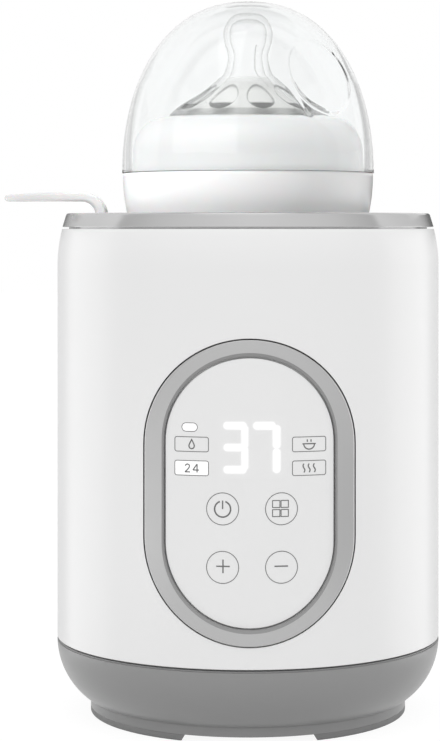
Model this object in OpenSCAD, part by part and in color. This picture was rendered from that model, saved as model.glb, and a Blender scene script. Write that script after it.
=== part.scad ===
// Countertop bottle warmer with a lifting basket and a wide-neck feeding bottle standing in it.
// Millimetres, +Z up, origin on the table at the warmer's axis, control panel facing -Y.

/* [Housing] */
// Outside diameter of the white housing
body_d = 110; // [106:1:120]
// Height of the housing between its two seams
housing_h = 117.2; // [112:0.2:130]
// Wall of the housing
housing_wall = 2.2; // [1.9:0.1:2.5]
// How far the housing draws in at its top edge
housing_draw = 1.4; // [0.8:0.1:1.8]
// Height over which the housing draws in
housing_draw_h = 11; // [8:0.5:16]
// Open line left at the seams above and below the housing
seam_gap = 0.5; // [0.3:0.1:0.7]
// Depth of the open line
seam_depth = 0.7; // [0.5:0.1:1.2]

/* [Top rim] */
// Height of the rim above the housing
rim_h = 4.2; // [3.4:0.1:6]
// How far the outside of the rim leans in
rim_draw = 1.2; // [0.6:0.1:1.8]
// Radius of the rim's upper edges
rim_round = 0.8; // [0.4:0.1:1.2]

/* [Base] */
// Height of the rounded base bowl
base_h = 17; // [16:0.5:20]
// Diameter of the bowl at its lower edge
base_bottom_d = 92.4; // [92:0.2:96]
// Wall of the bowl
base_wall = 2.8; // [2.6:0.1:3.2]
// Diameter of the foot ring under the bowl
foot_ring_d = 90.8; // [89:0.2:91.6]
// Height of the foot ring
foot_ring_h = 2.8; // [2.4:0.1:4]
// Height of the rubber foot under the ring
foot_pad_h = 1.8; // [1.2:0.1:3]
// Radial width of the rubber foot
foot_pad_w = 8; // [6:0.5:9]
// Open width of the foot at the front
foot_gap = 34.8; // [20:0.2:44]

/* [Control panel] */
// Width of the bezel
bezel_w = 56.3; // [52:0.1:60]
// Height of the bezel
bezel_h = 81.2; // [78:0.2:88]
// Width of the bezel's grey band at its sides
bezel_band = 5.5; // [4.6:0.1:6.5]
// Width of the band at its top and bottom
bezel_band_end = 4.6; // [4:0.1:6.5]
// Width of the lower lip along the inside of the band
bezel_lip = 0.8; // [0.4:0.1:1.2]
// How far the bezel stands proud of the housing
bezel_proud = 0.5; // [0.2:0.1:0.9]
// Height of the panel's centre above the base seam
panel_rise = 47; // [45:0.2:52]
// Thickness of the touch panel
panel_t = 1.8; // [1.4:0.1:2]
// Distance between the two columns of touch keys
key_pitch_x = 15.6; // [13:0.1:18]
// Distance between the two rows of touch keys
key_pitch_z = 15.5; // [13:0.1:18]
// Width of the two-digit display
display_w = 20; // [16:0.5:22]

/* [Tank and heater] */
// Space between housing and tank, for the control board
board_bay = 6.4; // [6:0.1:7.5]
// Wall of the water tank
tank_wall = 1.6; // [1.2:0.1:2.2]
// Height of the tank's floor above the lower edge of the base
bay_h = 29.4; // [28:0.2:34]
// Diameter of the heating plate
plate_d = 70; // [62:0.5:71]
// Thickness of the heating plate
plate_t = 1.2; // [0.8:0.1:1.8]
// Diameter of the heating element
heater_d = 30; // [24:0.5:34]
// Thickness of the heating element
heater_t = 6; // [4:0.2:6.6]

/* [Boards] */
// Thickness of both circuit boards
board_t = 1.6; // [1:0.2:1.6]
// Length of the power board
power_board_l = 52; // [46:1:54]
// Width of the power board
power_board_w = 44; // [40:1:46]
// Diameter of the bore for the mains cord
cord_bore_d = 6.2; // [5:0.1:7]

/* [Lifting basket] */
// Thickness of the basket's leg
leg_t = 2.6; // [2.2:0.1:3.2]
// Thickness of the handle where it leaves the bend
handle_t = 2.5; // [1.8:0.1:3]
// Thickness of the handle at its tip
handle_tip_t = 1.8; // [1.2:0.1:2.4]
// Width of the leg and the handle
handle_w = 15; // [14:0.5:26]
// Reach of the handle's tip from the warmer's axis
handle_reach = 70.3; // [64:0.1:80]
// Clear height between the rim and the handle
handle_clear = 3.5; // [2.5:0.1:6]
// Height of the basket's wall
basket_wall_h = 12; // [8:0.5:20]
// Number of water slots in the basket's floor
basket_slots = 8; // [6:1:10]

/* [Bottle] */
// Diameter of the bottle's body
bottle_d = 66; // [62:0.5:70]
// Height of the bottle's body up to its shoulder
bottle_body_h = 90; // [80:0.5:100]
// Height of the shoulder
shoulder_h = 11.6; // [9:0.2:15]
// Outside diameter of the neck
neck_d = 52.4; // [48:0.2:54]
// Height of the neck above the shoulder
neck_h = 24.8; // [24:0.2:30]
// Wall of the bottle
bottle_wall = 1.8; // [1.4:0.1:2.4]

/* [Teat, screw ring and cap] */
// Widest diameter of the screw ring
ring_d = 72.4; // [71:0.2:78]
// Height of the ring's skirt below its ledge
ring_skirt_h = 14.2; // [13:0.2:15]
// Height of the ring's dome above its ledge
ring_dome_h = 15.4; // [14.6:0.2:18]
// Diameter of the opening that the teat comes through
ring_mouth_d = 46.6; // [44:0.2:47]
// Wall of the screw ring
ring_wall = 2; // [1.6:0.1:2.2]
// Height of the teat above the ring's ledge
teat_h = 46.5; // [45:0.5:46.9]
// Diameter of the nipple's tip
nipple_d = 13.8; // [12:0.2:16]
// Wall of the teat
teat_wall = 1.7; // [1.2:0.1:2]
// Number of petals on the teat's skirt
petal_count = 10; // [7:1:10]
// Diameter of the cap at its lower edge
cap_d = 72.8; // [72:0.2:78]
// Height of the cap
cap_h = 49.5; // [49:0.5:56]
// Wall of the cap
cap_wall = 1.9; // [1.4:0.1:2]
// Wall of the cap at its crown
cap_crown = 1.2; // [1:0.1:1.9]
// Diameter of the round finger dimple on the cap
dimple_d = 26.6; // [20:0.2:28]

/* [Hidden] */
$fn = 96;

// Colours
white = "#ececec";
pale = "#e2e2e2";
mid_grey = "#b9b9b9";
base_grey = "#8c8c8c";
dark = "#303234";
steel = "#c3c6c9";
board_green = "#2f6b4a";
copper = "#b87840";
clear = [0.92, 0.95, 0.97, 0.35];

// Clearances: pieces that stay together, that move, a screw in its pilot, a glued face, a screw's way through
fit_gap = 0.15;
move_gap = 0.4;
pilot_gap = 0.05;
glue_gap = 0.05;
through_gap = 0.25;
past = 1; // how far a cut runs past a face

// Levels
z_cover = foot_pad_h;
z_base = z_cover + foot_ring_h;
z_seam = z_base + base_h;
z_top = z_seam + housing_h;
z_rim = z_top + rim_h;
z_base_top = z_seam - seam_gap / 2;
z_shell = z_seam + seam_gap / 2;
z_shell_top = z_top - seam_gap / 2;
z_rim_low = z_top + seam_gap / 2;

// Radii of the shells that stand inside each other
body_r = body_d / 2;
shell_in = body_r - housing_wall;
tank_out = shell_in - board_bay;
tank_in = tank_out - tank_wall;
basket_r = tank_in - 2 * move_gap;
cover_r = foot_ring_d / 2;

// Base bowl: one arc, upright at the seam, through the lower edge
bowl_h = z_base_top - z_base;
bowl_arc = 2 * atan((body_r - base_bottom_d / 2) / bowl_h);
bowl_rho = bowl_h / sin(bowl_arc);
base_floor_t = 2.2;
base_open_r = 35;
lip_t = 1.4;
lip_h = 3;

// Base screws and the bosses that they run through
screw_r = 1.45;
screw_head_r = 2.7;
screw_head_h = 1.6;
boss_r = 3.2;
boss_in = 2.3;
boss_h = 13.4;
boss_place = base_open_r + boss_r + boss_in;
z_boss = z_base + boss_h;
screw_bite = 8;
screw_angles = [30, 150, 270];
ear_angles = [90, 210, 330];
cover_t = 2;
spigot_h = 1.6;

// Cord outlet at the back of the base
outlet_rise = 8.6;
outlet_wall = 3.5;
outlet_l = 10.4;
grommet_wall = 1.5;
outlet_z = z_base + outlet_rise;
outlet_r = cord_bore_d / 2 + outlet_wall;
outlet_face = body_r;
outlet_in = body_r - outlet_l;
grommet_r = cord_bore_d / 2 + grommet_wall;
grommet_flange = 1.2;

// Housing and rim
draw_rho = (pow(housing_draw_h, 2) + pow(housing_draw, 2)) / (2 * housing_draw);
rim_r = body_r - housing_draw;
rim_in = tank_in + move_gap;
shell_top_t = 1.8;
shell_top_in = body_r - housing_draw - shell_top_t;
ledge_t = 2;
ledge_drop = 2.4;
z_ledge = z_top - ledge_drop;
tongue_t = 1.4;
tongue_out = shell_top_in - fit_gap;
flange_t = 1.8;
flange_r = tongue_out - tongue_t - fit_gap;
z_flange = z_ledge + flange_t;
seal_w = 2.6;

// Tank floor, heating plate and what hangs under it
z_tank = z_base + bay_h;
tank_floor_t = 2;
z_lip = z_tank - tank_floor_t;
seal_t = 0.8;
z_plate = z_lip - seal_t - plate_t;
plate_r = plate_d / 2;
window_lap = 2.5;
plate_window_r = plate_r - window_lap;
clamp_t = 1.6;
z_clamp = z_plate - clamp_t;
clamp_lap = 1;
clamp_w = 4;
clamp_r = plate_r + clamp_lap;
clamp_in = plate_r - clamp_w;
ear_r = 3.6;
ear_out = 6;
ear_place = plate_r + ear_out;
clamp_screw_r = 1.2;
clamp_boss_r = 2.4;
heater_r = heater_d / 2;
z_heater = z_plate - heater_t;
strap_t = 1.4;
strap_w = 12;
strap_out = 5;
strap_half = heater_r + strap_out;
strap_foot = 8;
strap_screw_r = 1;
strap_screw_in = 1.9;
strap_screw_place = clamp_in + strap_screw_in;

// Power board in the bottom
standoff_h = 5.8;
standoff_in = 4;
z_board = z_base + standoff_h;
standoff_x = power_board_l / 2 - standoff_in;
standoff_y = power_board_w / 2 - standoff_in;
standoff_r = 2.6;
board_screw_r = 0.95;
board_head_r = 1.8;
board_head_h = 1.2;
board_bite = 4;
z_parts = z_board + board_t;

// Control panel: radii at the front and places seen from the front
panel_z = z_seam + panel_rise;
panel_w = bezel_w - 2 * bezel_band;
panel_h = bezel_h - 2 * bezel_band_end;
bezel_r = body_r + bezel_proud;
bezel_step = 0.4;
bezel_sink = 0.8;
bezel_seat_r = body_r - bezel_sink;
bezel_lap = 1.6;
ledge_w = 1.5;
panel_sink = 0.1;
panel_r = body_r - panel_sink;
panel_back_r = panel_r - panel_t;
bezel_ledge_t = 0.8;
bezel_back_r = panel_back_r - bezel_ledge_t;
key_drop = 4.15;
key_shift = 0.6; // how far the keys stand to the right of the panel's middle
display_rise = 12.1;
key_z = [panel_z - key_drop, panel_z - key_drop - key_pitch_z];
display_z = panel_z + display_rise;
display_h = 17;
label_x = 15.7;
label_rise = 12.9;
label_low = 6.5;
label_z = [panel_z + label_rise, panel_z + label_low];
lamp_rise = 17.4;
lamp_z = panel_z + lamp_rise;

// Control board behind the panel, flat, facing -Y
board_gap = 0.5;
board_y = tank_out + board_gap;
board_front = board_y + board_t;
board_half_w = sqrt(pow(bezel_back_r - move_gap, 2) - pow(board_front, 2));
board_edge = 6;
board_half_h = panel_h / 2 - board_edge;
post_r = 1.9;
post_in_x = 9;
post_in_z = 11.5;
post_bite = 2;
post_x = panel_w / 2 - post_in_x;
post_z = panel_h / 2 - post_in_z;
spring_r = 3;
spring_t = 0.6;

// Ribbon cable between the boards
ribbon_w = 12;
ribbon_t = 0.6;
ribbon_bend = 5;
plug_h = 5;
plug_w = 15;
plug_t = 2.2;
ribbon_y = board_front + plug_t / 2;
plug_edge = 1;
plug_l = 6;
plug_rise = 4.5;
ribbon_end = power_board_w / 2 - plug_edge - plug_l;
z_ribbon = z_parts + plug_rise;

// Basket, standing on the tank's floor
basket_t = 2;
basket_floor_t = 2.4;
basket_foot_h = 1.6;
z_basket_floor = z_tank + basket_foot_h;
z_bottle = z_basket_floor + basket_floor_t;
leg_in = basket_r - leg_t;
z_handle = z_rim + handle_clear;
bend_r = 4.2;
foot_notch_w = 16;

// Bottle, standing on the basket's floor
bottle_r = bottle_d / 2;
neck_r = neck_d / 2;
bottle_heel = 5;
z_shoulder = z_bottle + bottle_body_h;
z_neck = z_shoulder + shoulder_h;
z_mouth = z_neck + neck_h;

// Teat flange on the bottle's mouth, and the ring over it
teat_flange_t = 2.2;
teat_flange_r = neck_r + 0.2;
z_teat = z_mouth + teat_flange_t;
sleeve_in = teat_flange_r + move_gap;
ring_r = ring_d / 2;
ring_ledge_w = 3;
ring_plug_r = ring_r - ring_ledge_w;
ring_lip_t = 3.3;
z_ring_top = z_teat + 0.2 + ring_lip_t;
z_ring_ledge = z_ring_top - ring_dome_h;
z_ring = z_ring_ledge - ring_skirt_h;
ring_skirt_draw = 1.6;
ring_mouth_r = ring_mouth_d / 2;
ring_mouth_edge = 0.3;
ring_dome_in = ring_mouth_r + ring_mouth_edge;
ring_dome_r = ring_plug_r - ring_dome_in;
z_teat_tip = z_ring_ledge + teat_h;
petal_turn = 11.5;

// Cap standing on the ring's ledge
cap_r = cap_d / 2;
cap_flat = 2.3; // exponent across the dome: above 2 flattens its top
cap_full = 2.1; // exponent up the dome: above 2 fills out its sides
cap_steps = 28;
dimple_az = 43;
dimple_tilt = 23;
dimple_rise = 27.8;
dimple_sink = 2.3;
dimple_floor = 0.5;
dimple_rim = 1.8;

// Points on an arc, angles in degrees from +X
function arc(cx, cy, r, from, to, n = 8) =
  [for (i = [0:n]) let (a = from + (to - from) * i / n) [cx + r * cos(a), cy + r * sin(a)]];

// Points of a smooth curve through the given points, n to each span
function along(p, n = 6) = [
  for (i = [0:len(p) - 2], k = [0:n - 1])
    let (a = p[max(i - 1, 0)], b = p[i], c = p[i + 1], d = p[min(i + 2, len(p) - 1)], t = k / n)
      0.5 * (2 * b + (c - a) * t + (2 * a - 5 * b + 4 * c - d) * t * t + (3 * b - a - 3 * c + d) * t * t * t),
  p[len(p) - 1]
];

function unit(v) = v / norm(v);

// Rounded slot, upright, centred
module stadium(w, h) {
  r = min(w, h) / 2;
  square([w - (h > w ? 0 : 2 * r), h - (h > w ? 2 * r : 0)], center = true);
  for (s = [-1, 1])
    translate(h > w ? [0, s * (h / 2 - r)] : [s * (w / 2 - r), 0]) circle(r);
}

// Upright slot shape, carried from the axis forwards through the front wall
module front_prism(w, h) {
  translate([0, 0, panel_z]) rotate([90, 0, 0]) linear_extrude(body_d) stadium(w, h);
}

// Upright tube
module ring(r_out, r_in, z0, z1) {
  translate([0, 0, z0]) difference() {
    cylinder(r = r_out, h = z1 - z0);
    translate([0, 0, -past]) cylinder(r = r_in, h = z1 - z0 + 2 * past);
  }
}

// Upright rod
module rod(r, z0, z1) {
  translate([0, 0, z0]) cylinder(r = r, h = z1 - z0);
}

// Children set round the axis at a radius; 0 degrees is the front
module around(r, angles) {
  for (a = angles) rotate([0, 0, a]) translate([0, -r, 0]) children();
}

// Part of the front wall between two radii inside an upright slot shape
module curved_plate(w, h, r_out, r_in) {
  intersection() {
    front_prism(w, h);
    ring(r_out, r_in, panel_z - h, panel_z + h);
  }
}

// Pan-head screw, head down, with its seat at z 0
module screw(r, length, head_r, head_h) {
  cylinder(r = r, h = length);
  translate([0, 0, -head_h]) difference() {
    cylinder(r = head_r, h = head_h);
    for (a = [0, 90])
      rotate([0, 0, a]) cube([1.2 * head_r, 0.3 * head_r, head_h], center = true);
  }
}

// Round wire along a smooth route
module wire(route, d, up = [0, 0, 1], sides = 8) {
  p = along(route, 5);
  last = len(p) - 1;
  rings = [
    for (i = [0:last])
      let (
        t = unit(p[min(i + 1, last)] - p[max(i - 1, 0)]),
        u = unit(cross(t, up)),
        v = cross(t, u)
      )
        for (k = [0:sides - 1])
          p[i] + d / 2 * (u * cos(k * 360 / sides) + v * sin(k * 360 / sides))
  ];
  walls = [
    for (i = [0:last - 1], k = [0:sides - 1])
      let (a = i * sides + k, b = i * sides + (k + 1) % sides)
        each [[a, b, b + sides], [a, b + sides, a + sides]]
  ];
  far = last * sides;
  starts = [for (k = [1:sides - 2]) [0, k + 1, k]];
  ends = [for (k = [1:sides - 2]) [far, far + k, far + k + 1]];
  polyhedron(rings, concat(walls, starts, ends));
}

// Outline of the bowl from the axis to its arc, inset by a wall, above a level
module bowl_2d(inset, z0) {
  intersection() {
    union() {
      translate([body_r - bowl_rho, z_base_top]) circle(bowl_rho - inset);
      square([body_r - bowl_rho, z_base_top]);
    }
    translate([0, z0]) square([body_r, z_base_top - z0]);
  }
}

module base() {
  color(base_grey) difference() {
    union() {
      rotate_extrude() {
        difference() {
          bowl_2d(0, z_base);
          bowl_2d(base_wall, z_base + base_floor_t);
          translate([0, z_base - past]) square([base_open_r, base_floor_t + 2 * past]);
        }
        translate([shell_in - fit_gap - lip_t, z_base_top - lip_h])
          square([lip_t, lip_h + seam_gap + lip_h]);
        translate([shell_in - fit_gap - lip_t, z_base_top])
          square([body_r - seam_depth - shell_in + fit_gap + lip_t, seam_gap - glue_gap]);
      }
      around(boss_place, screw_angles) rod(boss_r, z_base, z_boss);
      translate([0, outlet_in, outlet_z]) rotate([-90, 0, 0])
        cylinder(r = outlet_r, h = outlet_face - outlet_in);
    }
    around(boss_place, screw_angles) rod(screw_r + through_gap, z_base - past, z_boss + past);
    translate([0, outlet_in - past, outlet_z]) rotate([-90, 0, 0])
      cylinder(r = grommet_r, h = outlet_face - outlet_in + 2 * past);
  }
}

module bottom_cover() {
  spigot_r = base_open_r - fit_gap;
  color(base_grey) difference() {
    union() {
      rotate_extrude() {
        translate([0, z_base - cover_t]) square([cover_r, cover_t]);
        translate([cover_r - foot_pad_w, z_cover]) square([foot_pad_w, foot_ring_h]);
        translate([spigot_r - cover_t, z_base]) square([cover_t, spigot_h]);
      }
      around(boss_place, screw_angles) rod(boss_r + past, z_cover, z_base);
      for (x = [-1, 1], y = [-1, 1])
        translate([x * standoff_x, y * standoff_y]) rod(standoff_r, z_base - cover_t / 2, z_board);
    }
    around(boss_place, screw_angles) {
      rod(screw_r + through_gap, z_cover - past, z_base + past);
      rod(screw_head_r + through_gap, z_cover - past, z_cover + screw_head_h);
    }
    for (x = [-1, 1], y = [-1, 1])
      translate([x * standoff_x, y * standoff_y])
        rod(board_screw_r + pilot_gap, z_base, z_board + past);
  }
}

// Rubber ring, open at the front, with slanted ends
module foot_pad() {
  slant = 0.6 * foot_pad_h;
  low = foot_gap / 2 + slant;
  high = foot_gap / 2;
  color(base_grey) difference() {
    ring(cover_r, cover_r - foot_pad_w, 0, foot_pad_h);
    rotate([90, 0, 0]) linear_extrude(body_d)
      polygon([
        [-low, -past], [low, -past], [low, 0], [high, foot_pad_h], [high, foot_pad_h + past],
        [-high, foot_pad_h + past], [-high, foot_pad_h], [-low, 0]
      ]);
  }
}

module base_screws() {
  color(steel) around(boss_place, screw_angles)
    translate([0, 0, z_cover + screw_head_h])
      screw(screw_r, z_boss + screw_bite - z_cover - screw_head_h, screw_head_r, screw_head_h);
}

module cord_grommet() {
  color(dark) translate([0, 0, outlet_z]) rotate([-90, 0, 0]) difference() {
    union() {
      rod(grommet_r - fit_gap, outlet_in - grommet_flange, outlet_face + grommet_flange);
      rod(outlet_r - past, outlet_face, outlet_face + grommet_flange);
      rod(outlet_r - past, outlet_in - grommet_flange, outlet_in);
    }
    rod(cord_bore_d / 2, outlet_in - grommet_flange - past, outlet_face + grommet_flange + past);
  }
}

module housing() {
  z_draw = z_top - housing_draw_h;
  neck_w = bezel_w - 2 * bezel_lap;
  neck_h_front = bezel_h - 2 * bezel_lap;
  color(white) difference() {
    rotate_extrude() difference() {
      union() {
        translate([0, z_shell]) square([body_r, z_draw - z_shell]);
        intersection() {
          translate([body_r - draw_rho, z_draw]) circle(draw_rho);
          translate([0, z_draw]) square([body_r, z_shell_top - z_draw]);
        }
      }
      translate([0, z_shell - past]) square([shell_in, z_ledge - ledge_t - z_shell + past]);
      translate([0, z_ledge - ledge_t - past]) square([tank_out + fit_gap, ledge_t + 2 * past]);
      translate([0, z_ledge]) square([shell_top_in, rim_h + housing_h]);
    }
    curved_plate(bezel_w + 2 * through_gap, bezel_h + 2 * through_gap, 2 * body_r, bezel_seat_r);
    front_prism(neck_w, neck_h_front);
  }
}

module top_rim() {
  r_low = rim_r;
  r_high = rim_r - rim_draw;
  color(mid_grey) rotate_extrude() {
    polygon(concat(
      [[rim_in, z_rim_low], [r_low, z_rim_low]],
      arc(r_high - rim_round, z_rim - rim_round, rim_round, 0, 90),
      arc(rim_in + rim_round, z_rim - rim_round, rim_round, 90, 180)
    ));
    translate([tongue_out - tongue_t, z_ledge + fit_gap])
      square([tongue_t, z_rim_low - z_ledge]);
    translate([tongue_out - tongue_t, z_shell_top + glue_gap])
      square([rim_r - seam_depth - tongue_out + tongue_t, seam_gap - glue_gap]);
  }
}

module rim_seal() {
  color(dark) ring(tank_out + seal_w, tank_out, z_flange, z_rim_low);
}

module water_tank() {
  color(pale) difference() {
    union() {
      rotate_extrude() {
        translate([tank_in, z_lip]) square([tank_wall, z_flange - z_lip]);
        translate([tank_in, z_ledge]) square([flange_r - tank_in, flange_t]);
        translate([plate_window_r, z_lip]) square([tank_out - plate_window_r, tank_floor_t]);
      }
      around(boss_place, screw_angles) rod(boss_r, z_boss, z_lip + past);
      around(ear_place, ear_angles) rod(clamp_boss_r, z_plate, z_lip + past);
    }
    around(boss_place, screw_angles)
      rod(screw_r + pilot_gap, z_boss - past, z_boss + screw_bite + past);
    around(ear_place, ear_angles)
      rod(clamp_screw_r + pilot_gap, z_plate - past, z_tank - tank_floor_t / 2);
  }
}

module heating_plate() {
  color(steel) rod(plate_r, z_plate, z_plate + plate_t);
}

module plate_seal() {
  color(dark) ring(plate_r - 0.2, plate_window_r + 0.3, z_plate + plate_t, z_lip);
}

module clamp_ring() {
  color(steel) difference() {
    union() {
      rod(clamp_r, z_clamp, z_plate);
      around(ear_place, ear_angles) rod(ear_r, z_clamp, z_plate);
      around(ear_place - ear_r, ear_angles)
        translate([-ear_r, -ear_r, z_clamp]) cube([2 * ear_r, 2 * ear_r, clamp_t]);
    }
    rod(clamp_in, z_clamp - past, z_plate + past);
    around(ear_place, ear_angles) rod(clamp_screw_r + through_gap, z_clamp - past, z_plate + past);
    for (s = [-1, 1])
      translate([s * strap_screw_place, 0, 0])
        rod(strap_screw_r + pilot_gap, z_clamp - past, z_plate + past);
  }
}

module clamp_screws() {
  color(steel) around(ear_place, ear_angles)
    translate([0, 0, z_clamp])
      screw(clamp_screw_r, z_lip - z_clamp, 2 * clamp_screw_r, clamp_screw_r);
}

module ptc_heater() {
  tab_w = 5;
  color(steel) {
    rod(heater_r, z_heater, z_plate);
    for (s = [-1, 1])
      translate([s * tab_w - tab_w / 2, heater_r - past, z_heater + heater_t / 2])
        cube([tab_w, tab_w + past, 0.8]);
  }
}

module heater_strap() {
  color(steel) difference() {
    translate([0, strap_w / 2, 0]) rotate([90, 0, 0]) linear_extrude(strap_w) {
      translate([-strap_half, z_heater - strap_t]) square([2 * strap_half, strap_t]);
      for (s = [-1, 1]) {
        translate([s * (strap_half - strap_t / 2) - strap_t / 2, z_heater - strap_t])
          square([strap_t, z_clamp - z_heater + strap_t]);
        translate([s * (strap_half - strap_t + strap_screw_place + strap_foot / 2) / 2
            - (strap_screw_place + strap_foot / 2 - strap_half + strap_t) / 2, z_clamp - strap_t])
          square([strap_screw_place + strap_foot / 2 - strap_half + strap_t, strap_t]);
      }
    }
    for (s = [-1, 1])
      translate([s * strap_screw_place, 0, 0])
        rod(strap_screw_r + through_gap, z_clamp - strap_t - past, z_clamp + past);
  }
}

module strap_screws() {
  color(steel) for (s = [-1, 1])
    translate([s * strap_screw_place, 0, z_clamp - strap_t])
      screw(strap_screw_r, strap_t + clamp_t, 2 * strap_screw_r, strap_screw_r);
}

module thermistor() {
  probe_r = 2;
  probe_h = 5;
  color(copper) translate([0, heater_r + 3 * probe_r + 3, 0]) {
    rod(probe_r, z_plate - probe_h, z_plate);
    rod(probe_r + 1, z_plate - 1, z_plate);
  }
}

module thermal_fuse() {
  fuse_r = 1.9;
  fuse_l = 11;
  color(steel) translate([-fuse_l / 2, -heater_r - 3 * fuse_r, z_plate - fuse_r - fit_gap]) {
    rotate([0, 90, 0]) cylinder(r = fuse_r, h = fuse_l);
    translate([-3, 0, 0]) rotate([0, 90, 0]) cylinder(r = 0.5, h = fuse_l + 6);
  }
}

module power_board() {
  color(board_green) difference() {
    translate([-power_board_l / 2, -power_board_w / 2, z_board])
      cube([power_board_l, power_board_w, board_t]);
    for (x = [-1, 1], y = [-1, 1])
      translate([x * standoff_x, y * standoff_y])
        rod(board_screw_r + through_gap, z_board - past, z_parts + past);
  }
}

module power_components() {
  tall = 9;
  low = 7;
  filter_l = 15;
  filter_w = 13;
  filter_in = 8;
  filter_y = -2;
  relay_l = 12;
  relay_w = 10;
  relay_x = 6;
  relay_y = 4;
  can_r = 4;
  can_x = 3;
  can_y = -6;
  small_can_r = 3;
  small_can_x = 14;
  block_l = 16;
  color(dark) {
    translate([-power_board_l / 2 + filter_in, filter_y, z_parts]) cube([filter_l, filter_w, tall]);
    translate([relay_x, relay_y, z_parts]) cube([relay_l, relay_w, tall]);
    translate([can_x, can_y, z_parts]) cylinder(r = can_r, h = tall);
    translate([small_can_x, can_y, z_parts]) cylinder(r = small_can_r, h = low);
    translate([-block_l / 2, power_board_w / 2 - plug_edge - plug_l, z_parts])
      cube([block_l, plug_l, low]);
    translate([-plug_w / 2, -power_board_w / 2 + plug_edge, z_parts])
      cube([plug_w, plug_l, z_ribbon - z_parts]);
  }
}

module power_board_screws() {
  color(steel) for (x = [-1, 1], y = [-1, 1])
    translate([x * standoff_x, y * standoff_y, z_parts]) mirror([0, 0, 1])
      screw(board_screw_r, board_t + board_bite, board_head_r, board_head_h);
}

module bezel() {
  neck_w = bezel_w - 2 * bezel_lap - 2 * fit_gap;
  neck_h_front = bezel_h - 2 * bezel_lap - 2 * fit_gap;
  color(mid_grey) difference() {
    union() {
      curved_plate(bezel_w, bezel_h, bezel_r, bezel_seat_r + glue_gap);
      curved_plate(neck_w, neck_h_front, bezel_seat_r + past / 2, bezel_back_r);
    }
    curved_plate(panel_w + 2 * bezel_lip, panel_h + 2 * bezel_lip, bezel_r + past, bezel_r - bezel_step);
    curved_plate(panel_w, panel_h, bezel_r + past, panel_back_r - glue_gap);
    front_prism(panel_w - 2 * ledge_w, panel_h - 2 * ledge_w);
  }
}

module touch_panel() {
  color(pale) difference() {
    union() {
      curved_plate(panel_w - 2 * fit_gap, panel_h - 2 * fit_gap, panel_r, panel_back_r);
      for (x = [-1, 1], z = [-1, 1])
        translate([x * post_x, 0, panel_z + z * post_z]) rotate([90, 0, 0])
          rod(post_r, board_front, sqrt(pow(panel_back_r, 2) - pow(post_x, 2)) + panel_t / 2);
    }
    for (x = [-1, 1], z = [-1, 1])
      translate([x * post_x, 0, panel_z + z * post_z]) rotate([90, 0, 0])
        rod(board_screw_r + pilot_gap, board_front - past, board_front + post_bite);
  }
}

module control_board() {
  color(board_green) difference() {
    union() {
      translate([-board_half_w, -board_front, panel_z - board_half_h])
        cube([2 * board_half_w, board_t, 2 * board_half_h]);
      translate([-plug_w / 2, -board_front - plug_t, panel_z - board_half_h])
        cube([plug_w, plug_t, plug_h]);
    }
    for (x = [-1, 1], z = [-1, 1])
      translate([x * post_x, 0, panel_z + z * post_z]) rotate([90, 0, 0])
        rod(board_screw_r + through_gap, board_y - past, board_front + past);
  }
}

module display_module() {
  reach = sqrt(pow(panel_back_r, 2) - pow(display_w / 2, 2)) - through_gap;
  color(dark) translate([-display_w / 2, -reach, display_z - display_h / 2])
    cube([display_w, reach - board_front, display_h]);
}

module indicator_leds() {
  led_l = 1.6;
  led_w = 1;
  led_t = 0.8;
  places = concat([for (x = [-1, 1], z = label_z) [x * label_x, z]], [[-label_x, lamp_z]]);
  color("white") for (p = places)
    translate([p.x - led_l / 2, -board_front - led_t, p.y - led_w / 2]) cube([led_l, led_t, led_w]);
}

module touch_springs() {
  color(copper) for (x = [-1, 1], z = key_z)
    translate([x * key_pitch_x / 2 + key_shift, 0, z]) rotate([90, 0, 0])
      ring(spring_r, spring_r - spring_t, board_front,
        sqrt(pow(panel_back_r, 2) - pow(key_pitch_x / 2 + key_shift + spring_r, 2)) - fit_gap);
}

module control_board_screws() {
  color(steel) for (x = [-1, 1], z = [-1, 1])
    translate([x * post_x, -board_y, panel_z + z * post_z]) rotate([90, 0, 0])
      screw(board_screw_r, board_t + post_bite, board_head_r, board_head_h);
}

// Side view of the ribbon: back along the bottom, one bend, up to the control board
module ribbon_cable() {
  z_end = panel_z - board_half_h;
  color(pale) translate([-ribbon_w / 2, 0, 0]) rotate([90, 0, 90]) linear_extrude(ribbon_w) {
    translate([-ribbon_y + ribbon_bend, z_ribbon]) square([ribbon_y - ribbon_bend - ribbon_end, ribbon_t]);
    translate([-ribbon_y, z_ribbon + ribbon_bend]) square([ribbon_t, z_end - z_ribbon - ribbon_bend]);
    intersection() {
      translate([-ribbon_y + ribbon_bend, z_ribbon + ribbon_bend]) difference() {
        circle(ribbon_bend);
        circle(ribbon_bend - ribbon_t);
      }
      translate([-ribbon_y, z_ribbon]) square(ribbon_bend);
    }
  }
}

module heater_leads() {
  tab_y = heater_r + 4;
  z_tab = z_heater + heater_t / 2;
  z_block = z_parts + 7;
  color("firebrick") for (s = [-1, 1])
    wire([
      [s * 5, tab_y, z_tab - 1], [s * 5, tab_y + 0.5, (z_tab + z_block) / 2],
      [s * 4.5, power_board_w / 2 - 4, z_block + 1]
    ], 2, up = [1, 0, 0]);
}

module sensor_lead() {
  probe_y = heater_r + 9;
  color(dark) wire([
    [0, probe_y, z_plate - 5 - move_gap], [0, probe_y + 1, z_plate - 8],
    [0, power_board_w / 2 - 3, z_parts + 8]
  ], 1.6, up = [1, 0, 0]);
}

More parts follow.
